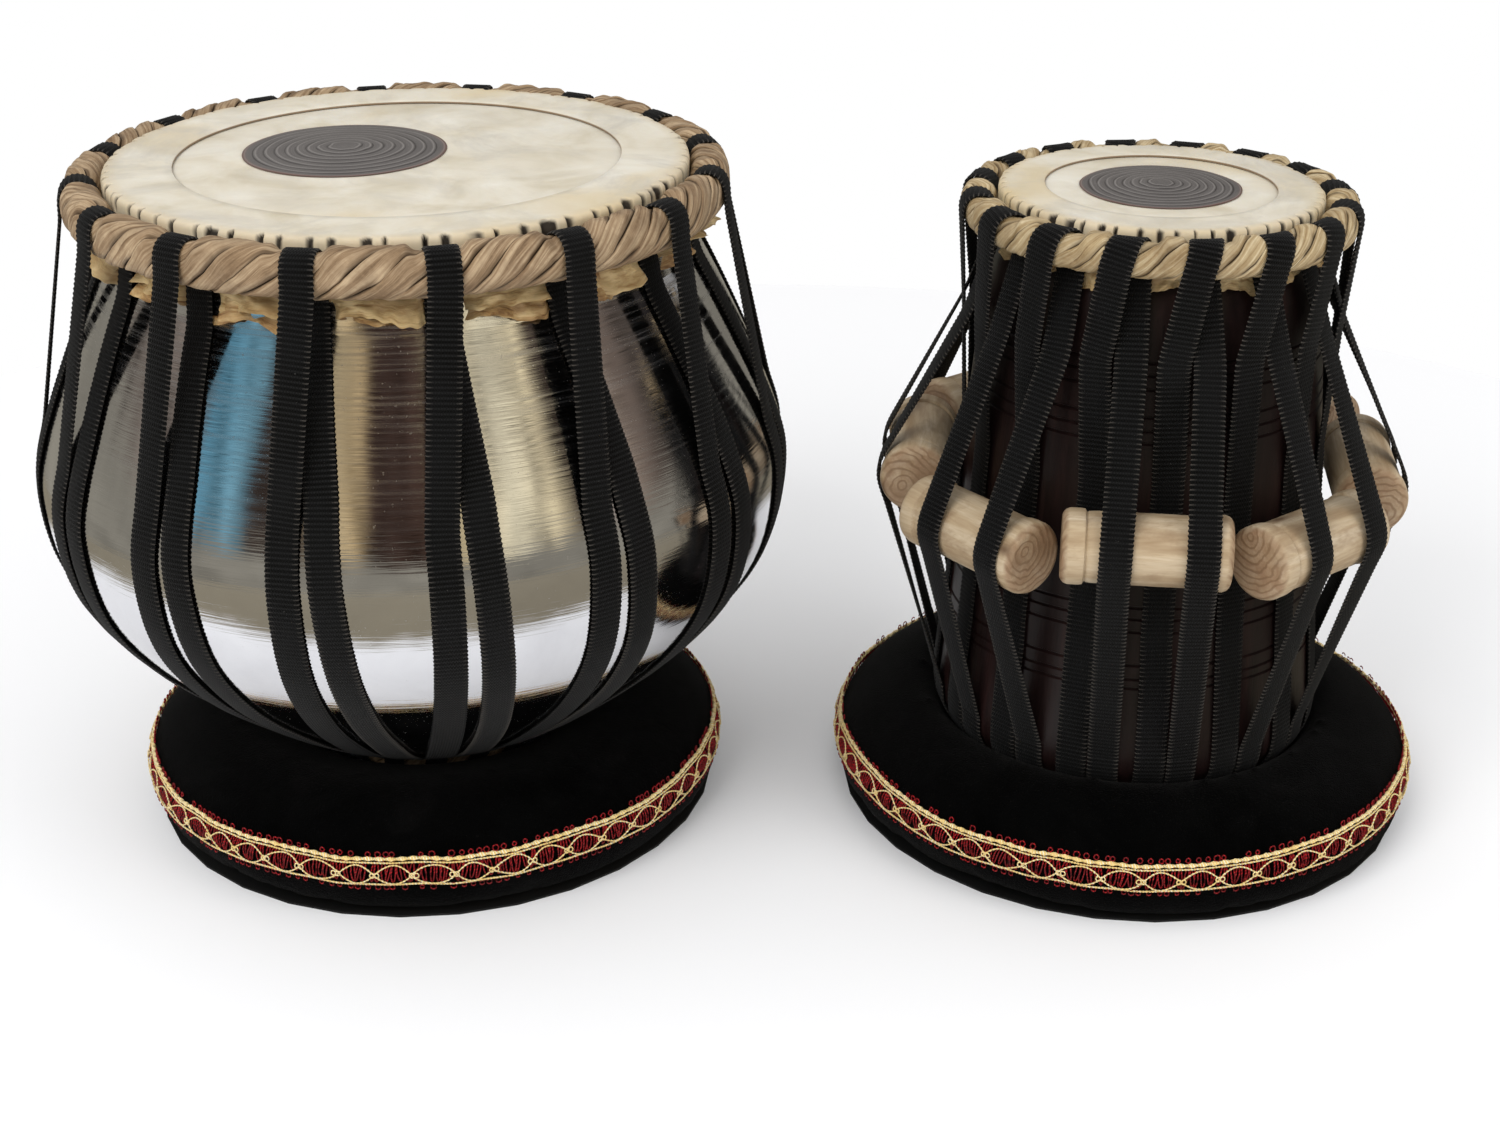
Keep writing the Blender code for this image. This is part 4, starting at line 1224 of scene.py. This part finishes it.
def cords(name, lines, thickness, look, sides=4, node=None, flat=1.0, turns=0.0):
    """Thin cords, one along each closed line. A flat cord twists by turns for each metre."""
    points, faces, twist = [], [], []
    count = 0
    turn = np.arange(sides) * TURN / sides
    wide, deep = np.cos(turn)[None, :], np.sin(turn)[None, :] * flat
    for line in lines:
        along = heading(line, closed=True)
        side = unit(np.cross(along, np.array([0.0, 0.0, 1.0]) + along * 0.01))
        over = np.cross(side, along)
        n = len(line)
        distance = distances(line)
        rolled = TURN * round(distance[-1] * turns) * np.arange(n)[:, None] / n
        u = wide * np.cos(rolled) - deep * np.sin(rolled)
        v = wide * np.sin(rolled) + deep * np.cos(rolled)
        ring = side[:, None, :] * u[:, :, None] + over[:, None, :] * v[:, :, None]
        points.append((line[:, None, :] + ring * thickness / 2).reshape(-1, 3))
        lay = np.zeros((n, sides, 3))
        lay[:, :, 0] = distance[:, None]
        lay[:, :, 1] = turn[None, :]
        twist.append(lay.reshape(-1, 3))
        faces.append(grid_faces(n, sides, True, True) + count)
        count += n * sides
    piece = from_faces(name, np.concatenate(points), np.concatenate(faces), twist=np.concatenate(twist))
    settle(piece, look, "cushions", "gold_and_red_lace", *([node] if node else []), smooth=60)


def trimming(name, x, gold, red):
    """Lace round the cushion: gold cords at its edges, gold diamonds over red loops, and red picots."""
    seed = 71 if name == "bayan" else 83
    r = CUSHION_RADIUS
    dense = np.arange(2400) * TURN / 2400

    def on_side(angle, height, out):
        """A point of the lace: height runs up the side and over the edge's bend."""
        z = height + ripple(angle, seed, 2, 16, 0.7) * 0.7 * MM
        lean = np.clip((z - 22 * MM) / (8 * MM), 0, 1) ** 1.5 * 3.2 * MM
        return around(x, angle, r + out - lean, z)

    def edge_cord(height, slack, out):
        return on_side(dense, height * MM + slack * MM * loose, out * MM)

    loose = ripple(dense, seed + 1, 8, 40, 0.5)
    top = [edge_cord(28.6, 0.35, 1.0)]
    cords(name + "_gold_top_cord", top, 1.9 * MM, gold, 6, name + "_cushion_trim", 0.65, 110)
    low = [edge_cord(18.2, 0.4, 0.9), edge_cord(27.2, 0.3, 1.0)]
    cords(name + "_gold_low_cords", low, 0.95 * MM, gold, 5, None, 0.6, 400)
    diamonds, knots, loops = [], [], []
    for phase in (0, math.pi):
        wave = np.cos(dense * DIAMONDS / 2 + phase + 0.25 * loose)
        level = LACE_MIDDLE * MM + 3.9 * MM * np.sign(wave) * np.abs(wave) ** 0.85
        diamonds.append(on_side(dense, level, 1.35 * MM + 0.2 * MM * np.sin(dense * DIAMONDS + phase)))
    cords(name + "_gold_diamonds", diamonds, 0.8 * MM, gold, 5, None, 0.6, 300)
    t = np.linspace(0, TURN, 11)[:-1]
    for k in range(DIAMONDS):
        middle = TURN * (k + 0.5) / DIAMONDS
        for shift in (-0.9, 0.9):
            angle = middle + (shift + 0.95 * np.cos(t)) * MM / r
            knots.append(on_side(angle, (LACE_MIDDLE + 1.0 * np.sin(t)) * MM, 1.6 * MM + 0 * t))
    cords(name + "_gold_knots", knots, 0.6 * MM, gold)
    chance = np.random.default_rng(seed)
    t = np.linspace(0, TURN, 13)[:-1]
    for k in range(RED_LOOPS):
        middle = TURN * (k + chance.uniform(-0.35, 0.35)) / RED_LOOPS
        lean = chance.uniform(-0.5, 0.9)
        wide = chance.uniform(0.65, 1.0) * 0.95 * MM
        tall = chance.uniform(3.6, 4.8) * MM
        angle = middle + (wide * np.cos(t) + lean * tall * np.sin(t) * 0.35) / r
        loops.append(on_side(angle, 23.2 * MM + tall * np.sin(t), 0.55 * MM + 0.25 * MM * np.cos(t * 2)))
    t = np.linspace(0, TURN, 9)[:-1]
    for k in range(PICOTS):
        middle = TURN * (k + chance.uniform(-0.3, 0.3)) / PICOTS
        size = chance.uniform(0.8, 1.3) * MM
        for level, odds in ((17.0 * MM, 0.9), (30.3 * MM, 0.75)):
            if chance.uniform() < odds:
                angle = middle + size * np.cos(t) / r
                loops.append(on_side(angle, level + size * np.sin(t), 0.9 * MM + 0 * t))
    cords(name + "_red_thread_loops", loops, 0.6 * MM, red)


# ---------------------------------------------------------------- stage


def soft_light(name, place, aim, size, power):
    data = bpy.data.lights.new(name, "AREA")
    data.shape = "RECTANGLE"
    data.size, data.size_y = size
    data.energy = power
    lamp = bpy.data.objects.new(name, data)
    lamp.location = place
    lamp.rotation_euler = (Vector(aim) - Vector(place)).to_track_quat("-Z", "Y").to_euler()
    lamp.visible_glossy = False
    bpy.context.scene.collection.objects.link(lamp)


# What polished metal mirrors: an azimuth in degrees and a colour
ROOM_BANDS = [
    (-180, (150, 145, 140)), (-130, (205, 203, 200)), (-118, (80, 74, 70)), (-106, (125, 115, 105)),
    (-74, (132, 120, 110)), (-67, (118, 128, 132)), (-62, (96, 150, 172)), (-46, (122, 168, 184)),
    (-42, (60, 50, 44)), (-26, (76, 64, 54)), (-20, (204, 184, 144)), (-12, (198, 172, 128)),
    (-7, (64, 49, 42)), (11, (74, 56, 47)), (22, (222, 202, 158)), (36, (246, 234, 200)),
    (50, (238, 220, 178)),
    (56, (60, 49, 43)), (65, (60, 50, 46)), (69, (202, 187, 175)), (78, (160, 142, 126)),
    (84, (108, 94, 84)), (98, (92, 82, 74)), (104, (42, 38, 36)), (118, (60, 56, 54)),
    (127, (212, 210, 207)), (140, (90, 84, 80)), (180, (150, 145, 140)),
]


def room():
    """White all round for light and for the eye; polished metal shows a warm room above tan ground."""
    world = bpy.data.worlds.new("studio")
    bpy.context.scene.world = world
    world.use_nodes = True
    world.node_tree.nodes.clear()
    n = Nodes(world.node_tree)
    white = (1, 1, 1, 1)

    def background(colour, strength):
        return n.add("ShaderNodeBackground", Color=colour, Strength=strength).outputs[0]

    def either(share, a, b):
        node = n.add("ShaderNodeMixShader")
        for socket, value in zip(node.inputs, (share, a, b)):
            n.feed(socket, value)
        return node.outputs[0]

    way = n.add("ShaderNodeTexCoord").outputs["Generated"]
    x, y, z = n.split(way)
    azimuth = n.math("ARCTAN2", x, n.times(y, -1.0))
    share = n.plus(n.scaled(azimuth, 1 / TURN, 0.5), n.scaled(n.noise(way, 5, 4, 0.5), 0.03, -0.015))
    bands = n.ramp(share, *[(degrees / 360 + 0.5, colour) for degrees, colour in ROOM_BANDS])
    upright = n.join(n.times(azimuth, 3.0), n.times(z, 2.2))
    shade = n.ramp(n.noise(upright, 3.2, 5, 0.5), (0.34, 0.35), (0.60, 1.35))
    seen = n.blend(1.0, bands, shade, "MULTIPLY")
    seen = n.blend(n.times(n.between(z, 0.62, 0.95), 0.8), seen, (176, 174, 172))
    ground = n.blend(n.noise(way, 4, 6, 0.5), (92, 88, 80), (186, 180, 164))
    edge = n.scaled(n.noise(way, 9, 4, 0.5), 0.14, 0.06)
    seen = n.blend(n.between(z, n.plus(edge, 0.02), n.plus(edge, -0.02)), seen, ground)
    rays = n.add("ShaderNodeLightPath").outputs
    lit = either(rays["Is Glossy Ray"], background(white, 0.85), background(seen, 0.95))
    n.add("ShaderNodeOutputWorld", Surface=either(rays["Is Camera Ray"], lit, background(white, 1.0)))


def studio():
    """The floor, the room, two soft lights and the camera. In polished metal the floor turns tan far off."""
    pick_nothing()
    bpy.ops.mesh.primitive_circle_add(vertices=128, radius=0.72, fill_type="NGON", location=(0, -0.02, 0))
    floor = bpy.context.object
    floor.name = "pale_floor"
    f = Finish("floor_paper", roughness=0.9)
    f.set("Specular IOR Level", 0.1)
    place = f.place((bayan.x, 0.05, 0))
    x, y, _ = f.split(place)
    far = f.scaled(f.noise(place, 9, 4, 0.6), 0.10, f.away(x, f.times(y, 1.22)))
    mirrored = f.add("ShaderNodeLightPath").outputs["Is Glossy Ray"]
    hidden = f.times(f.between(far, 0.43, 0.46), mirrored)
    f.link(f.blend(hidden, (0.95, 0.95, 0.96, 1), (138, 130, 112)), "Base Color")
    floor.data.materials.append(f.material)
    room()
    soft_light("key", (-0.9, -1.3, 1.5), (0, 0, 0.12), (1.2, 1.0), 20)
    soft_light("fill", (1.4, -0.8, 1.0), (0, 0, 0.12), (1.0, 1.0), 6)
    bpy.context.scene.view_settings.view_transform = "Standard"
    data = bpy.data.cameras.new("camera")
    data.sensor_width = 36
    data.lens = CAMERA_LENS
    data.clip_start = 0.01
    eye = bpy.data.objects.new("camera", data)
    eye.location = CAMERA_PLACE
    eye.rotation_euler = CAMERA_TURN
    bpy.context.scene.collection.objects.link(eye)
    bpy.context.scene.camera = eye


# ---------------------------------------------------------------- everything


def build():
    bayan_shell()
    dayan_shell()
    for drum, opening, patch, holes in ((bayan, 88.6 * MM, 40.9 * MM, 74), (dayan, 46 * MM, 32 * MM, 56)):
        playing_skin(drum, opening, 0.1 if drum is bayan else 0.4)
        edge_skin(drum, opening, holes, 0.3 if drum is bayan else 0.7)
        paste_patch(drum, patch, 9)
    brown = rawhide("brown_hide", (184, 160, 128), (144, 118, 88), (92, 68, 44))
    tan = rawhide("tan_hide", (206, 188, 152), (168, 144, 104), (108, 82, 48))
    braid(bayan, brown, 5, 13, 1700)
    braid(dayan, tan, 4, 10, 1200)
    dark_hem = hem_skin("dark_hem", (176, 142, 94), (112, 78, 44))
    pale_hem = hem_skin("pale_hem", (198, 172, 124), (150, 116, 72))
    hem(bayan, BAYAN_CURVE, dark_hem, "bayan_lining_hem", 11 * MM, 2.6 * MM, 4 * MM, BAYAN_FIRST_LOOP, 5)
    hem(bayan, BAYAN_CURVE, pale_hem, "bayan_outer_hem", 8.5 * MM, 2.8 * MM, 10 * MM, BAYAN_FIRST_LOOP, 9)
    hem(dayan, DAYAN_CURVE, pale_hem, "dayan_lining_hem", 6.5 * MM, 2.4 * MM, 3 * MM, DAYAN_FIRST_LOOP, 15)
    strap = black_webbing()
    bayan_straps(strap)
    dayan_straps(strap)
    tuning_blocks(block_wood())
    velvet = black_velvet()
    cloth = plain_cloth("black_cloth", (12, 12, 12), (30, 30, 30))
    gold = thread("gold_thread", (255, 250, 222), (246, 212, 132), 0.0, 0.3, 900)
    red = thread("red_thread", (196, 10, 20), (110, 2, 10), 0.0, 0.6, 700)
    for name in ("bayan", "dayan"):
        x = cushion(name, velvet, cloth)
        trimming(name, x, gold, red)


build()
studio()
